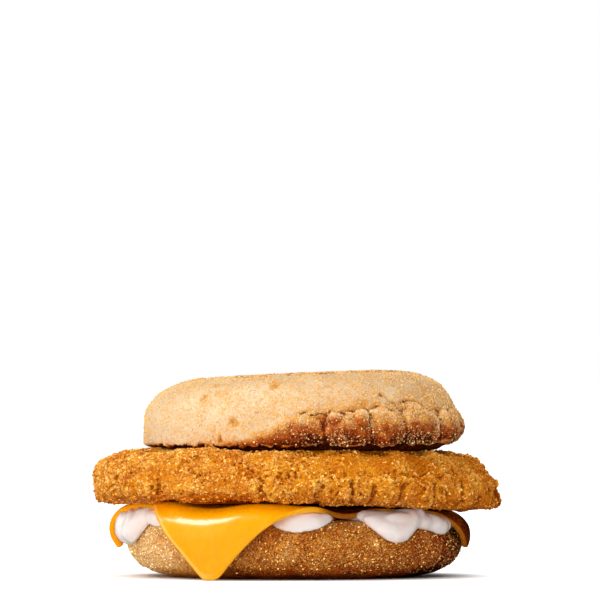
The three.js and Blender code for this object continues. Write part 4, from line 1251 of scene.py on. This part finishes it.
# The CAD sauce and its dollops, blended into one smooth mesh
def blendedSauce():
    bm = bmesh.new()
    bm.from_mesh(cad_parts["sauce"].data)
    for where, away, level, out, along, up in sauce["dollops"]:
        turned = Matrix.Rotation(math.radians(where), 4, "Z")
        moved = Matrix.Translation((0, -away * mm, level * mm))
        sized = Matrix.Diagonal((along * mm, out * mm, up * mm, 1))
        bmesh.ops.create_icosphere(bm, subdivisions=3, radius=1.0, matrix=turned @ moved @ sized)
    draftMesh = bpy.data.meshes.new("sauceDraft")
    bm.to_mesh(draftMesh)
    bm.free()
    draft = bpy.data.objects.new("sauceDraft", draftMesh)
    bpy.context.collection.objects.link(draft)
    remesh = draft.modifiers.new("blend", "REMESH")
    remesh.mode, remesh.voxel_size = "VOXEL", sauce["voxel"]
    relax = draft.modifiers.new("relax", "SMOOTH")
    relax.factor, relax.iterations = 0.5, sauce["smoothing"]
    mesh = bpy.data.meshes.new_from_object(draft.evaluated_get(bpy.context.evaluated_depsgraph_get()))
    bpy.data.objects.remove(draft)
    return mesh


def makeSauce():
    mesh = blendedSauce()
    count = len(mesh.vertices)
    points, normals = np.zeros(count * 3), np.zeros(count * 3)
    mesh.vertices.foreach_get("co", points)
    mesh.vertex_normals.foreach_get("vector", normals)
    points, normals = points.reshape(-1, 3), normals.reshape(-1, 3)
    turn, _ = turnAndRadius(points)
    swirl = sauce["swirl"]
    phase = points @ np.array(swirl["across"]) / swirl["pitch"] + noiseOf(points, swirl["sway"])
    swirled = window(turn, *swirl["turns"]) * ramp(points[:, 2], *swirl["heights"])
    puff = sauce["puff"] + noiseOf(points, sauce["ripples"])
    puff = puff + swirl["depth"] * np.sin(phase * math.tau) * swirled
    mesh.vertices.foreach_set("co", (points + normals * puff[:, None]).ravel())
    mesh.update()
    mesh.shade_smooth()
    layer = bpy.data.objects.new("sauceLayer", mesh)
    bpy.context.collection.objects.link(layer)
    storeValues(layer, {"paintedShadeOnSauce": window(turn, *sauce["paintedShadeOnSauceTurns"])})
    finishPiece(layer, creamySauce(), "sauce")


# Stage

studio = {
    "camera": {"place": (1.4 * mm, -2.0, 56 * mm), "pitch": 90.61, "lens": 428.57, "sensor": 36.0},
    # Softboxes: degrees right of the camera and above the floor, distance, size, watts and tint
    "lights": {
        "upperLeft": (-70, 50, 1.3, 0.62, 6.5, (1, 0.985, 0.96)),
        "lowFront": (-10, 6, 1.5, 0.8, 12.0, (1, 0.985, 0.965)),
        "lowLeft": (-62, 8, 1.5, 0.8, 7.0, (1, 0.99, 0.97)),
        "upperRight": (42, 52, 1.6, 0.9, 7.5, (1, 0.985, 0.965)),
    },
    "shineCard": (-83, 51, 1.3, 0.5, 7.0, (1, 1, 1)),  # the only one that glossy surfaces mirror
    "aim": (0, 0, 30 * mm),
    "surroundings": 0.3,
    # The floor bounces light by one tone and is seen in another, and it is plain white past its edge
    "floor": {"reach": 40.0, "bounce": 0.85, "seen": 0.95, "edge": (0.04, 0.066)},
}


def softbox(name, light, onlyShines=False):
    aside, up, away, size, watts, tint = light
    data = bpy.data.lights.new(name, "AREA")
    data.shape, data.size = "SQUARE", size
    data.energy, data.color = watts, tint
    box = bpy.data.objects.new(name, data)
    box.visible_glossy, box.visible_diffuse, box.visible_camera = onlyShines, not onlyShines, False
    aside, up = math.radians(aside), math.radians(up)
    towards = Vector((math.sin(aside) * math.cos(up), -math.cos(aside) * math.cos(up), math.sin(up)))
    box.location = Vector(studio["aim"]) + away * towards
    box.rotation_euler = (-towards).to_track_quat("-Z", "Y").to_euler()
    bpy.context.collection.objects.link(box)


# A pale floor that shows the shadow near the sandwich and fades into plain white further off
def layFloor():
    size = studio["floor"]
    reach = size["reach"]
    corners = np.array([(-reach, -reach, 0), (reach, -reach, 0), (reach, reach, 0), (-reach, reach, 0)])
    floor = meshPiece("floor", corners, [(0, 1, 2, 3)])
    material, tree, shader = newMaterial("paleFloor", {"Roughness": 0.9, "Specular IOR Level": 0.1})
    seen = put(tree, "LightPath").outputs["Is Camera Ray"]
    bounce, pale = size["bounce"], size["seen"]
    away = put(tree, "VectorMath", {0: surfacePlace(tree)}, operation="LENGTH").outputs["Value"]
    white = times(tree, seen, ranged(tree, away, *size["edge"]))
    feed(tree, shader, {
        "Base Color": mixColours(tree, seen, (bounce, bounce, bounce, 1), (pale, pale, pale, 1)),
        "Emission Color": mixColours(tree, white, black, (1, 1, 1, 1)), "Emission Strength": 1.0,
    })
    floor.data.materials.append(material)
    floor.visible_glossy = False


def setStage():
    scene = bpy.context.scene
    scene.view_settings.view_transform = "Standard"
    view = studio["camera"]
    lens = bpy.data.cameras.new("camera")
    lens.lens, lens.sensor_width = view["lens"], view["sensor"]
    lens.clip_end = 100
    camera = bpy.data.objects.new("camera", lens)
    camera.location = view["place"]
    camera.rotation_euler = (math.radians(view["pitch"]), 0, 0)
    bpy.context.collection.objects.link(camera)
    scene.camera = camera
    for name, light in studio["lights"].items():
        softbox(name, light)
    softbox("shineCard", studio["shineCard"], onlyShines=True)

    world = bpy.data.worlds.new("surroundings")
    scene.world = world
    world.use_nodes = True
    world.cycles_visibility.glossy = False
    tree = world.node_tree
    seen = put(tree, "LightPath").outputs["Is Camera Ray"]
    strength = ranged(tree, seen, 0.0, 1.0, studio["surroundings"], 1.0)
    feed(tree, tree.nodes["Background"], {"Strength": strength, "Color": (1, 1, 1, 1)})
    layFloor()


setStage()
print("stage set")
makeHeel()
print("lower muffin half made")
makeSauce()
print("sauce made")
makeCheese()
print("cheese slice made")
makePatty()
print("patty made")
makeCrown()
print("upper muffin half made")
